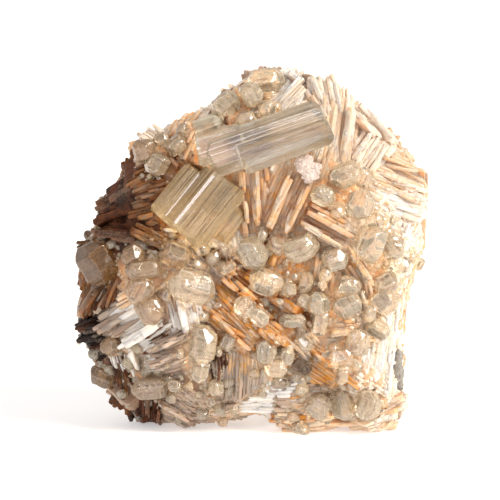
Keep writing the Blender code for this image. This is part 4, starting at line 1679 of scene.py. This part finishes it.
@dataclass
class CrystalForm:
    """A pseudo-hexagonal crystal along X: a rounded form between flat faces, then cut facets."""

    length: float
    width: float
    seed: int
    glint: Vector
    glint_depth: float = 0.05 * MM
    fineness: int = 3
    edge_width: float = 0.08 * MM
    facets: int = 8
    crispness: float = 24.0
    rib_pitch: float = 0.5 * MM
    # Left of this place the crystals are browned: painted shade toward the left side of the specimen.
    clear_from: float = -6 * MM

    def planes(self, dice: random.Random) -> tuple[np.ndarray, np.ndarray]:
        """Draws the faces that bound the form.

        Args:
            dice: Where its random numbers come from.

        Returns:
            Rows of directions, and each one's distance from the middle.
        """
        ways, reaches = [], []
        for step in range(6):
            turn = math.radians(60 * step + 14)
            ways.append((0, math.cos(turn), math.sin(turn)))
            reaches.append(self.width / 2 * dice.uniform(0.86, 1.0))
        for end in (-1, 1):
            ways.append((end, 0, 0))
            reaches.append(self.length / 2 * dice.uniform(0.94, 1.0))
            for step in range(6):
                turn = math.radians(60 * step + 14 + dice.uniform(-8, 8))
                lean = math.radians(dice.uniform(34, 56))
                ways.append((
                    end * math.sin(lean), math.cos(lean) * math.cos(turn), math.cos(lean) * math.sin(turn)
                ))
                reach = math.sin(lean) * self.length / 2 + math.cos(lean) * self.width / 2
                reaches.append(reach * dice.uniform(0.66, 0.84))
        return np.array(ways), np.array(reaches)

    def build(self, place: Matrix) -> BMesh:
        """Builds the crystal.

        Args:
            place: Where it stands.

        Returns:
            A closed bmesh with the layers facet, rib, run, frost and tan.
        """
        dice = random.Random(self.seed)
        ways, reaches = self.planes(dice)
        bm = bmesh.new()
        bmesh.ops.create_icosphere(bm, subdivisions=self.fineness, radius=1)
        sides = np.array([vert.co for vert in bm.verts])
        shares = np.maximum(sides @ ways.T, 0) / reaches
        radius = (shares**self.crispness).sum(axis=1) ** (-1 / self.crispness)
        off = dice.uniform(0, 50)
        for vert, side, out in zip(bm.verts, sides, radius):
            lump = noise.noise(Vector(side) * 1.9 + Vector((off, 0, 0)))
            small = noise.noise(Vector(side) * 5.0 + Vector((0, off, 0)))
            vert.co = Vector(side * out) * (1 + 0.08 * lump + 0.03 * small)
        bm.transform(place)
        for face in bm.faces:
            face.smooth = True
        self.paint(bm, place, self.cut_facets(bm, place.to_3x3(), ways, dice), dice)
        return bm

    def cut_facets(
        self, bm: BMesh, turned: Matrix, ways: np.ndarray, dice: random.Random
    ) -> list[BMFace]:
        """Cuts flat facets, one of which sends the key light to the camera.

        Args:
            bm: The crystal.
            turned: How it is turned.
            ways: Its faces' directions, before the turn.
            dice: Where its random numbers come from.

        Returns:
            The facets' faces.
        """
        scale = self.width / (3.5 * MM)
        facets = [(turned @ Vector(way), dice.uniform(0.06, 0.22)) for way in ways]
        facets.append((VIEWER + 0.5 * random_way(dice), dice.uniform(0.10, 0.30)))
        dice.shuffle(facets)
        caps = []
        for way, depth in facets[: self.facets]:
            caps += self.cut(bm, way.normalized(), depth * MM * scale)
        glint = self.glint + 0.05 * random_way(dice)
        return caps + self.cut(bm, glint.normalized(), self.glint_depth)

    def paint(
        self, bm: BMesh, place: Matrix, caps: list[BMFace],
        dice: random.Random,
    ) -> None:
        """Stores what the finish reads.

        Args:
            bm: The crystal.
            place: Where it stands.
            caps: The facets' faces.
            dice: Where its random numbers come from.
        """
        names = ("facet", "rib", "run", "frost", "tan")
        layers = [bm.verts.layers.float.new(name) for name in names]
        middle, turned = place.translation, place.to_3x3()
        milk = dice.choice((0.0, 0.0, 0.1, 0.2, 0.4))
        # Crystals further left are browned through the tan attribute: painted shade toward the left side.
        brown = min(1.0, max(0.0, (self.clear_from - middle.x) / (20 * MM)))
        brown = brown * dice.uniform(0.6, 1.0)
        length_way = turned @ Vector((1, 0, 0))
        ribbed = turned @ Vector((0, dice.uniform(-1, 1), 1)).normalized()
        if dice.random() < 0.3:
            ribbed, length_way = length_way, ribbed
        flat = {vert for cap in caps if cap.is_valid for vert in cap.verts}
        for vert in bm.verts:
            rib, run = ((vert.co - middle).dot(way) / self.rib_pitch for way in (ribbed, length_way))
            for layer, value in zip(layers, (float(vert in flat), rib, run, milk, brown)):
                vert[layer] = value

    def cut(self, bm: BMesh, way: Vector, depth: float) -> list[BMFace]:
        """Cuts a flat facet that faces one way.

        Args:
            bm: The crystal.
            way: The direction.
            depth: How much is taken off.

        Returns:
            The facet's faces.
        """
        reach = max(vert.co.dot(way) for vert in bm.verts) - depth
        made = sliced(bm, way * reach, way, clear_outer=True)
        edges = [item for item in made if isinstance(item, BMEdge)]
        caps = bmesh.ops.holes_fill(bm, edges=edges)["faces"] if edges else []
        for cap in caps:
            cap.smooth = False
            cap.material_index = 0
            thickness = min(self.edge_width, 0.3 * math.sqrt(cap.calc_area() / math.pi))
            # The inset ring round each facet takes the paler, milkier edge material: partly a painted
            # highlight rim.
            rim = bmesh.ops.inset_individual(bm, faces=[cap], thickness=thickness)
            for face in rim["faces"]:
                face.smooth = False
                face.material_index = 1
        return caps


@dataclass
class SmallCrystals:
    """The small cerussite crystals, one piece for each CAD node."""

    glint: Vector
    swell: float = 1.10
    seed: int = 900
    least_points: int = 12

    def owners(self, points: np.ndarray) -> np.ndarray:
        """Finds which crystal each place belongs to.

        Args:
            points: Rows of x, y and z.

        Returns:
            The number of the crystal for each row.
        """
        at = PICTURE.steps(points)
        gaps = np.empty((len(points), len(CRYSTALS)))
        for number, crystal in enumerate(CRYSTALS):
            turn = math.radians(crystal.angle)
            local = at - np.array([crystal.across, crystal.down])
            along = local[:, 0] * math.cos(turn) - local[:, 1] * math.sin(turn)
            aside = local[:, 0] * math.sin(turn) + local[:, 1] * math.cos(turn)
            gaps[:, number] = np.hypot(along / crystal.length, aside / crystal.width)
        return gaps.argmin(axis=1)

    def build(self, node: str, finish: Material, rim: Material) -> Object:
        """Builds one piece.

        Args:
            node: The CAD node that it stands for.
            finish: The material.
            rim: The material of the facets' edges.

        Returns:
            The piece.
        """
        points = vertex_rows(frame["nodes"][node].data)
        owners = self.owners(points)
        counts = {number: int((owners == number).sum()) for number in set(owners.tolist())}
        whole = bmesh.new()
        for number in sorted(counts):
            crystal = CRYSTALS[number]
            inside = np.abs(PICTURE.steps(points) - np.array(crystal[:2])).max(axis=1) < crystal.length
            if counts[number] < self.least_points or not inside.any():
                continue
            depth = float((points[owners == number] @ np.array(VIEWER)).max())
            width, length = crystal.width * PICTURE.step, crystal.length * PICTURE.step
            flat = PICTURE.point(crystal.across, crystal.down)
            middle = flat + VIEWER * (depth - flat.dot(VIEWER) - width * 0.47)
            along = PICTURE.direction(crystal.angle)
            axes = Matrix((along, VIEWER.cross(along), VIEWER)).transposed().to_4x4()
            lean = random.Random(100 + number).uniform(-14, 14)
            place = Matrix.Translation(middle) @ axes @ Matrix.Rotation(math.radians(lean), 4, "Y")
            form = CrystalForm(
                length * self.swell, width * self.swell, self.seed + number, self.glint,
                crystal.glint * MM, fineness=4 if length > 3.5 * MM else 3,
            )
            part = mesh_from("part", form.build(place))
            whole.from_mesh(part)
            bpy.data.meshes.remove(part)
        return object_from(f"{node}_clear", whole, finish, rim)


@dataclass
class CrystalScatter:
    """The many crystals that are smaller than those of the solids."""

    terrain: Terrain
    glint: Vector
    kinds: int = 12
    length: float = 2.3 * MM
    width: float = 1.8 * MM
    seed: int = 61
    behind: int = 110

    def shape(self, index: int) -> Mesh:
        """Builds one of the crystals that are repeated.

        Args:
            index: Its number.

        Returns:
            The crystal, with the edges between its facets marked.
        """
        dice = random.Random(self.seed * 7 + index)
        form = CrystalForm(
            self.length * dice.uniform(0.8, 1.2), self.width * dice.uniform(0.85, 1.1),
            self.seed * 100 + index, self.glint, 0.04 * MM, fineness=2, clear_from=-1.0, facets=4,
        )
        bm = form.build(Matrix.Identity(4))
        edges = np.array([face.material_index for face in bm.faces], bool)
        mesh = mesh_from(f"little_{index:02d}", bm)
        mesh.attributes.new("edge", "BOOLEAN", "FACE").data.foreach_set("value", edges)
        return mesh

    def places(self, skin: Object) -> Iterator[tuple[Vector, float]]:
        """Finds where the crystals stand.

        Args:
            skin: The rock's smoothed surface.

        Yields:
            The middle of each, and its size against the shape's own.
        """
        dice = random.Random(self.seed)
        around = [Area(c.across, c.down, (c.length + c.width) / 3.2, 4) for c in CRYSTALS]
        for across, down, radius, count in CLUSTERS + around:
            for _ in range(count):
                turn, off = dice.uniform(0, 2 * math.pi), radius * math.sqrt(dice.random())
                flat = PICTURE.point(across + off * math.cos(turn), down + off * math.sin(turn))
                size = dice.choice((0.5, 0.65, 0.8, 1.0, 1.25))
                start = PICTURE.outside(flat)
                hit, normal, _, away = self.terrain.rock.ray_cast(start, -VIEWER)
                crystal = self.terrain.crystals.ray_cast(start, -VIEWER)
                if hit is None or (crystal[0] is not None and crystal[3] < away):
                    continue
                if normal.dot(VIEWER) >= 0.3:
                    yield hit + VIEWER * 0.45 * size * self.width, size
        faces = [
            face for face in skin.data.polygons
            if Vector(face.normal).dot(VIEWER) < -0.15 and face.normal.z > -0.3
        ]
        for face in dice.sample(faces, self.behind):
            if face.center.z > 3 * MM:
                size = dice.choice((0.5, 0.7, 0.9, 1.2))
                yield Vector(face.center) + Vector(face.normal) * 0.5 * size * self.width, size

    def build(self, skin: Object, finish: Material, rim: Material) -> Object:
        """Builds the piece.

        Args:
            skin: The rock's smoothed surface.
            finish: The material.
            rim: The material of the facets' edges.

        Returns:
            The piece.
        """
        dice = random.Random(self.seed + 1)
        found = [
            (place, size) for place, size in self.places(skin)
            if self.terrain.holds(place, -0.8 * MM * size)
        ]
        obj = standing_points(
            "little_crystals_clear", [place for place, _ in found],
            [Matrix.Rotation(dice.uniform(0, 2 * math.pi), 3, self.glint).to_euler() for _ in found],
            [(size, size, size) for _, size in found], [dice.randrange(self.kinds) for _ in found],
        )
        shapes = shape_collection("little_crystals", map(self.shape, range(self.kinds)))
        grown(obj, scatter_tree("crystal_scatter"), Shapes=shapes, Finish=finish, Rim=rim)
        drop(shapes)
        return obj


@dataclass
class Reach:
    """How far a form reaches along one direction."""

    way: Vector
    low: float
    high: float

    @classmethod
    def of(cls, bm: BMesh, way: Vector) -> "Reach":
        """Measures a bmesh along a direction."""
        places = [vert.co.dot(way) for vert in bm.verts]
        return cls(way, min(places), max(places))

    def at(self, share: float) -> float:
        """The place at this share of the reach."""
        return self.low + (self.high - self.low) * share

    def share(self, place: float | np.ndarray) -> float | np.ndarray:
        """The share of the reach at this place, or at each of these."""
        return (place - self.low) / (self.high - self.low)


class Axes(NamedTuple):
    """The direction off a prism's front, and its reaches across and along its length."""

    up: Vector
    across: Reach
    run: Reach


@dataclass
class GreatPrism:
    """One of the two large prisms, with growth steps along it."""

    node: str
    name: str
    frosted_end: float
    seed: int
    step_pitch: tuple[float, float] = (0.5 * MM, 1.5 * MM)
    step_height: float = 0.12 * MM
    wall: float = 0.03 * MM
    slice_pitch: float = 1.2 * MM
    tilts: tuple[float, ...] = (-6, -4, -2, 0, 2, 3)
    shining: tuple[tuple[float, float], ...] = ()
    terrace: Optional[tuple[float, float, float]] = None
    edge: float = 0.24 * MM
    end_slope: float = 1.5 * MM
    rib_pitch: float = 0.5 * MM
    pale_band: float = -1.0
    shine_tilt: float = -9.0
    gleam: Vector = field(default_factory=lambda: Vector(VIEWER))

    def axis(self, bm: BMesh) -> Vector:
        """Finds the prism's long direction, which is that of its longest edge."""
        edge = max(bm.edges, key=lambda e: e.calc_length())
        way = (edge.verts[1].co - edge.verts[0].co).normalized()
        return way if way.x > 0 else -way

    def strips(self, across: Reach, dice: random.Random) -> list[float]:
        """Draws where the growth steps lie.

        Args:
            across: The prism across its length.
            dice: Where its random numbers come from.

        Returns:
            The places of the steps, from the lowest.
        """
        fixed = [across.at(share) for strip in self.shining for share in strip]
        cuts = [across.low + dice.uniform(*self.step_pitch)]
        while cuts[-1] < across.high - self.step_pitch[0]:
            cuts.append(cuts[-1] + dice.uniform(*self.step_pitch))
        return sorted(fixed + [
            cut for cut in cuts
            if all(abs(cut - edge) > 0.15 * MM for edge in fixed)
            and not any(across.at(low) < cut < across.at(high) for low, high in self.shining)
        ])

    def slit(self, bm: BMesh, way: Vector, place: float, width: float) -> None:
        """Adds edges on both sides of a place along a direction."""
        for side in (-0.5, 0.5):
            sliced(bm, way * (place + side * width), way)

    def lift(self, bm: BMesh, cuts: list[float], axes: Axes, dice: random.Random) -> None:
        """Moves the strips up and down, tilts them and raises the terrace.

        Args:
            bm: The prism, cut along its strips.
            cuts: The places of the growth steps.
            axes: The prism's axes.
            dice: Where its random numbers come from.
        """
        up, across, run = axes
        heights = [dice.uniform(-1, 0.4) * self.step_height for _ in range(len(cuts) + 1)]
        edges = [across.low, *cuts, across.high]
        middles = [(near + far) / 2 for near, far in zip(edges, edges[1:])]
        tilts = []
        for middle in middles:
            shines = any(low < across.share(middle) < high for low, high in self.shining)
            tilts.append(math.tan(math.radians(self.shine_tilt if shines else dice.choice(self.tilts))))
        bm.normal_update()
        front = [face.normal * face.calc_area() for face in bm.faces if face.normal.dot(up) > 0.8]
        tilt = math.radians(self.shine_tilt)
        front = sum(front, Vector()).normalized()
        self.gleam = front * math.cos(tilt) - across.way * math.sin(tilt)
        moves = []
        for vert in bm.verts:
            beside, along = vert.co.dot(across.way), vert.co.dot(run.way)
            strip = sum(beside > cut for cut in cuts)
            inner = min(1.0, (along - run.low) / self.end_slope, (run.high - along) / self.end_slope)
            rise = heights[strip] + tilts[strip] * (beside - middles[strip])
            if self.terrace and along > run.at(self.terrace[0]) and beside < across.at(self.terrace[1]):
                rise = self.terrace[2] * MM + 0.3 * rise
            facing = max(0.0, vert.normal.dot(up))
            moves.append((vert, up * rise * min(1.0, facing * 1.6) * max(0.0, inner)))
        for vert, move in moves:
            vert.co += move

    def mark_brink(self, bm: BMesh, axes: Axes) -> None:
        """Gives the brink of the prism's terrace the material of the edges."""
        up, across, run = axes
        half = self.edge / 2
        for face in bm.faces:
            middle = face.calc_center_median()
            past = middle.dot(run.way) - run.at(self.terrace[0])
            over = middle.dot(across.way) - across.at(self.terrace[1])
            if (abs(past) < half and over < half) or (abs(over) < half and past > -half):
                if face.normal.dot(up) > 0.1:
                    # The brink takes the paler edge material: a painted highlight along the step.
                    face.material_index = 1

    def paint(self, obj: Object, axes: Axes) -> None:
        """Stores what the finish reads.

        Args:
            obj: The prism.
            axes: The prism's axes.
        """
        up, across, run = axes
        points = vertex_rows(obj.data)
        beside, along, height = (points @ np.array(way) for way in (across.way, run.way, up))
        share = across.share(beside)
        frost = np.clip((self.frosted_end - run.share(along)) / 0.08, 0, 1)
        band = np.clip((self.pale_band - share) / 0.04, 0, 1)
        gleam = np.zeros(len(points))
        for low, high in self.shining:
            gleam = np.maximum(gleam, (share > low - 1e-3) & (share < high + 1e-3))
        write_attribute(obj.data, "frost", np.maximum(frost * 0.9, band * 0.55))
        write_attribute(obj.data, "tan", band * 0.3)
        write_attribute(obj.data, "facet", gleam * (height > np.median(height)))
        write_attribute(obj.data, "rib", beside / self.rib_pitch)
        write_attribute(obj.data, "run", along / self.rib_pitch)

    def build(self, finish: Material, rim: Material) -> Object:
        """Builds the piece.

        Args:
            finish: The material.
            rim: The material of the terrace's edge.

        Returns:
            The piece.
        """
        dice = random.Random(self.seed)
        bm = merged([self.node])
        bmesh.ops.dissolve_limit(bm, angle_limit=math.radians(1), verts=bm.verts, edges=bm.edges)
        along = self.axis(bm)
        up = (VIEWER - along * along.dot(VIEWER)).normalized()
        across = Reach.of(bm, up.cross(along))
        cuts = self.strips(across, dice)
        for cut in cuts:
            self.slit(bm, across.way, cut, self.wall)
        run = Reach.of(bm, along)
        count = int((run.high - run.low) / self.slice_pitch)
        for number in range(1, count):
            sliced(bm, along * (run.low + (run.high - run.low) * number / count), along)
        if self.terrace:
            for side in (-0.5, 0.5):
                for reach, share in ((run, self.terrace[0]), (across, self.terrace[1])):
                    sliced(bm, reach.way * (reach.at(share) + side * self.edge), reach.way)
        axes = Axes(up, across, run)
        self.lift(bm, cuts, axes, dice)
        if self.terrace:
            self.mark_brink(bm, axes)
        obj = object_from(self.name, bm, finish, rim)
        self.paint(obj, axes)
        return obj


@dataclass
class Druse:
    """Tiny crystals scattered over a surface."""

    density: float = 1.6e6
    size: float = 0.55 * MM
    seed: int = 4
    kinds: int = 5

    def shape(self, index: int) -> Mesh:
        """Builds one tiny crystal, one unit across.

        Args:
            index: Its number.

        Returns:
            The crystal.
        """
        dice = random.Random(self.seed * 10 + index)
        bm = bmesh.new()
        bmesh.ops.create_icosphere(bm, subdivisions=1, radius=0.5)
        for vert in bm.verts:
            vert.co *= dice.uniform(0.75, 1.1)
            vert.co.z *= dice.uniform(1.0, 1.25)
        return mesh_from(f"druse_{index}", bm)

    def tree(self) -> NodeTree:
        """Builds the tree that scatters the shapes where the attribute grit is high.

        Returns:
            The tree, with the inputs Shapes, Finish, Density, Size and Seed.
        """
        graph, given = new_tree(
            "druse_scatter", "Geometry",
            {
                "Geometry": "Geometry", "Shapes": "Collection", "Finish": "Material",
                "Density": "Float", "Size": "Float", "Seed": "Int",
            },
            {"Geometry": "Geometry"},
        )
        seed = given["Seed"]
        density = graph.times(graph.named("grit", "FLOAT"), given["Density"])
        points = graph.add(
            "GeometryNodeDistributePointsOnFaces",
            {"Mesh": given["Geometry"], "Density": density, "Seed": seed},
        )
        turn = graph.add(
            "FunctionNodeRandomValue", {1: (2 * math.pi,) * 3, "Seed": seed}, data_type="FLOAT_VECTOR"
        )
        grow = graph.add("FunctionNodeRandomValue", {2: 0.45, 3: 1.3, "Seed": seed}, data_type="FLOAT")
        stood = graph.instances({
            "Points": points.outputs[0], "Instance": given["Shapes"], "Rotation": turn.outputs[0],
            "Scale": graph.times(grow.outputs[1], given["Size"]),
        })
        graph.add("NodeGroupOutput", {0: graph.finished(stood, given["Finish"])})
        return graph.tree

    def scatter(self, name: str, ground: Object, finish: Material) -> Object:
        """Scatters the crystals over a surface.

        Args:
            name: The new piece's name.
            ground: An object with the attribute grit.
            finish: The material.

        Returns:
            The piece, which holds the crystals alone.
        """
        shapes = shape_collection("druse_shapes", map(self.shape, range(self.kinds)))
        obj = grown(
            linked(name, ground.data.copy()), self.tree(), Shapes=shapes, Finish=finish,
            Density=self.density, Size=self.size, Seed=self.seed,
        )
        drop(shapes)
        return obj


@dataclass(frozen=True)
class Studio:
    """The floor, the lights and the camera."""

    distance: float = 1.2
    frame_wide: float = 90 * MM
    sensor: float = 36.0
    key_way: tuple[float, float, float] = (0.72, -0.52, 0.62)
    key_strength: float = 2.8
    key_angle: float = 22.0
    sunlight: Colour = srgb(255, 247, 236)
    window_power: float = 0.8
    window_size: float = 0.20
    window_distance: float = 1.0
    sky: Colour = srgb(240, 240, 255)
    world: float = 0.62
    air: Colour = (1, 0.965, 0.93, 1)
    floor_glow: float = 0.42

    def aim(self) -> Vector:
        """The place that the camera looks at."""
        return PICTURE.point(250, 250)

    def glint(self) -> Vector:
        """The direction that a facet faces to send the key light to the camera."""
        return (Vector(self.key_way).normalized() + VIEWER).normalized()

    def turned(self, name: str, data: ID, quaternion: Quaternion) -> Object:
        """Adds a light or a camera with this turn."""
        obj = linked(name, data)
        obj.rotation_mode = "QUATERNION"
        obj.rotation_quaternion = quaternion
        return obj

    def window(self, number: int, gleam: Vector) -> None:
        """Adds a window, an area light that a strip sends to the camera.

        Args:
            number: Its number.
            gleam: The direction that the strip faces.
        """
        way = (2 * gleam.dot(VIEWER) * gleam - VIEWER).normalized()
        data = bpy.data.lights.new(f"window_{number}", "AREA")
        data.size, data.energy, data.color = self.window_size, self.window_power, self.sky[:3]
        light = self.turned(data.name, data, way.to_track_quat("Z", "Y"))
        light.location = self.aim() + way * self.window_distance

    def build(self, gleams: list[Vector]) -> None:
        """Builds the floor, the lights, the world and the camera.

        Args:
            gleams: The directions that strips face to send the windows' light to the camera.
        """
        bm = bmesh.new()
        bmesh.ops.create_circle(bm, cap_ends=True, segments=96, radius=6.0)
        object_from("floor", bm, self.floor_material())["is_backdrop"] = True
        sun = bpy.data.lights.new("key", "SUN")
        sun.energy, sun.angle = self.key_strength, math.radians(self.key_angle)
        sun.color = self.sunlight[:3]
        self.turned("key", sun, Vector(self.key_way).to_track_quat("Z", "Y"))
        for number, gleam in enumerate(gleams, 1):
            self.window(number, gleam)
        world = bpy.data.worlds.new("studio")
        world.use_nodes = True
        background = world.node_tree.nodes["Background"]
        Graph(world.node_tree).fill(background, {"Color": self.air, "Strength": self.world})
        data = bpy.data.cameras.new("camera")
        data.sensor_width = self.sensor
        data.lens = self.sensor * self.distance / self.frame_wide
        data.clip_start, data.clip_end = 0.01, 100.0
        camera = self.turned("camera", data, (-VIEWER).to_track_quat("-Z", "Y"))
        camera.location = self.aim() + VIEWER * self.distance
        scene = bpy.context.scene
        scene.world, scene.camera = world, camera
        scene.view_settings.view_transform = "Standard"

    def floor_material(self) -> Material:
        """Builds the pale finish of the floor."""
        material, graph, shader = new_material("pale_floor")
        graph.fill(shader, {
            "Base Color": (0.93, 0.93, 0.93, 1), "Roughness": 0.7,
            "Emission Color": (1, 1, 1, 1), "Emission Strength": self.floor_glow,
        })
        return material


CHAMPAGNE = GlassFinish(
    "champagne_cerussite", srgb(255, 240, 210), srgb(251, 230, 199), srgb(128, 84, 44),
    clearness=0.76, vein_share=0.7,
)
OLIVE = GlassFinish(
    "olive_cerussite", srgb(242, 219, 176), srgb(230, 201, 148), srgb(84, 58, 24),
    tint=srgb(224, 204, 156), density=40.0, fineness=2.0, line_share=2.0, vein_share=0.9,
    clearness=0.7, veil_scale=260.0, grain=1200.0, relief=0.3 * MM, grain_share=1.0,
    broken=False, rim=0.15, unshaded=(0.84, 0.80, 0.66, 1.0),
)
LILAC = GlassFinish(
    "lilac_cerussite", srgb(214, 206, 188), srgb(216, 205, 180), srgb(112, 98, 76),
    smooth=0.02, frosted=0.18, tint=srgb(220, 214, 188), density=32.0, fineness=1.35,
    line_share=1.6, highlight_share=0.85, clearness=0.88, veil_scale=300.0, grain=1100.0,
    relief=0.10 * MM, grain_share=0.5, broken=False, rim=0.1, unshaded=(0.74, 0.70, 0.66, 1.0),
)
PALE_GRAINS = GrainyFinish("pale_grains", srgb(248, 236, 222), srgb(224, 196, 168), 0.4)
SUGAR = GrainyFinish("white_sugar", srgb(228, 212, 202), srgb(184, 162, 148), 0.45)
ORES = {
    "ore_streak": GrainyFinish(
        "lead_ore_grey", srgb(156, 150, 142), srgb(50, 53, 56), 0.45, metallic=0.1, grain=1400.0
    ),
    "ore_grain": GrainyFinish("lead_ore_brown", srgb(104, 82, 62), srgb(34, 24, 18), 0.5),
}


def build_crust() -> None:
    """Builds the sugary crust and its tiny crystals."""
    sugar = SUGAR.material()
    crust = evened("sugary_crust", "white_crust", 0.3 * MM, sugar)
    write_attribute(crust.data, "grit", np.ones(len(crust.data.vertices)))
    druse = Druse(density=5e6, size=0.6 * MM).scatter("crust_crystals", crust, sugar)
    hand_over(crust, Slot.CRUST, "white_crust")
    hand_over(druse, Slot.CRUST)


def build_ores() -> None:
    """Builds the streak and the grain of lead ore."""
    for node, ore in ORES.items():
        piece = evened(f"{node}_rough", node, 0.25 * MM, ore.material())
        roughen(piece, 2.0 * MM, 0.4 * MM)
        roughen(piece, 0.6 * MM, 0.16 * MM)
        hand_over(piece, Slot.ORE, node)


def main() -> None:
    """Builds the specimen and its studio."""
    logging.basicConfig(level=logging.INFO, format="%(message)s")
    cad_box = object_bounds()
    studio = Studio()
    stain_map = StainMap()
    baryte = BaryteFinish().material()
    rock = Rock(stain_map)
    terrain = Terrain()
    blade_field = BladeField(terrain, stain_map)
    skin = rock.skin()
    blade_field.hidden_map.plan(skin, stain_map)
    blade_field.named_stacks()
    for spread in (WIDE_SPREAD, FILLING_SPREAD):
        blade_field.spread_stacks(skin, spread)
    body = rock.build(baryte)
    hand_over(body, Slot.BARYTE, "baryte_matrix")
    for piece in blade_field.pieces(baryte):
        hand_over(piece, Slot.BARYTE)

    champagne, rim = CHAMPAGNE.material(), RimFinish().material()
    little = CrystalScatter(terrain, studio.glint()).build(skin, champagne, rim)
    bpy.data.objects.remove(skin)
    hand_over(little, Slot.CERUSSITE)
    rock.mark_grit(body, CLUSTERS + [Area(c.across, c.down, 0.7 * c.length) for c in CRYSTALS], 0.35)
    sparkle = Druse(density=1.7e6, size=0.95 * MM, seed=14)
    hand_over(sparkle.scatter("sugary_crystals", body, champagne), Slot.CERUSSITE)
    rock.mark_grit(body, GRAINS, 0.25)
    pale = Druse(density=2.4e6, size=0.85 * MM, seed=15)
    hand_over(pale.scatter("pale_grains", body, PALE_GRAINS.material()), Slot.BARYTE)
    small = SmallCrystals(studio.glint())
    for node in sorted(frame["nodes"]):
        if node.startswith("cerussite_"):
            hand_over(small.build(node, champagne, rim), Slot.CERUSSITE, node)
    striated = GreatPrism(
        "striated_prism", "striated_prism_clear", 0.2, 7, step_pitch=(0.3 * MM, 0.9 * MM),
        shining=((0.626, 0.674), (0.780, 0.797)),
    )
    long = GreatPrism(
        "long_prism", "long_prism_clear", 0.28, 8, terrace=(0.3, 0.45, 0.35), pale_band=0.26,
        shining=(
            (0.42, 0.43), (0.50, 0.515), (0.57, 0.60), (0.67, 0.678), (0.745, 0.755), (0.83, 0.845)
        ),
    )
    for prism, glass in ((striated, OLIVE), (long, LILAC)):
        hand_over(prism.build(glass.material(), rim), Slot.CERUSSITE, prism.node)
    build_crust()
    build_ores()
    studio.build([striated.gleam, long.gleam])
    dressed_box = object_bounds()
    boxes = [[list(corner) for corner in box] for box in (cad_box, dressed_box)]


if __name__ == "__main__":
    main()
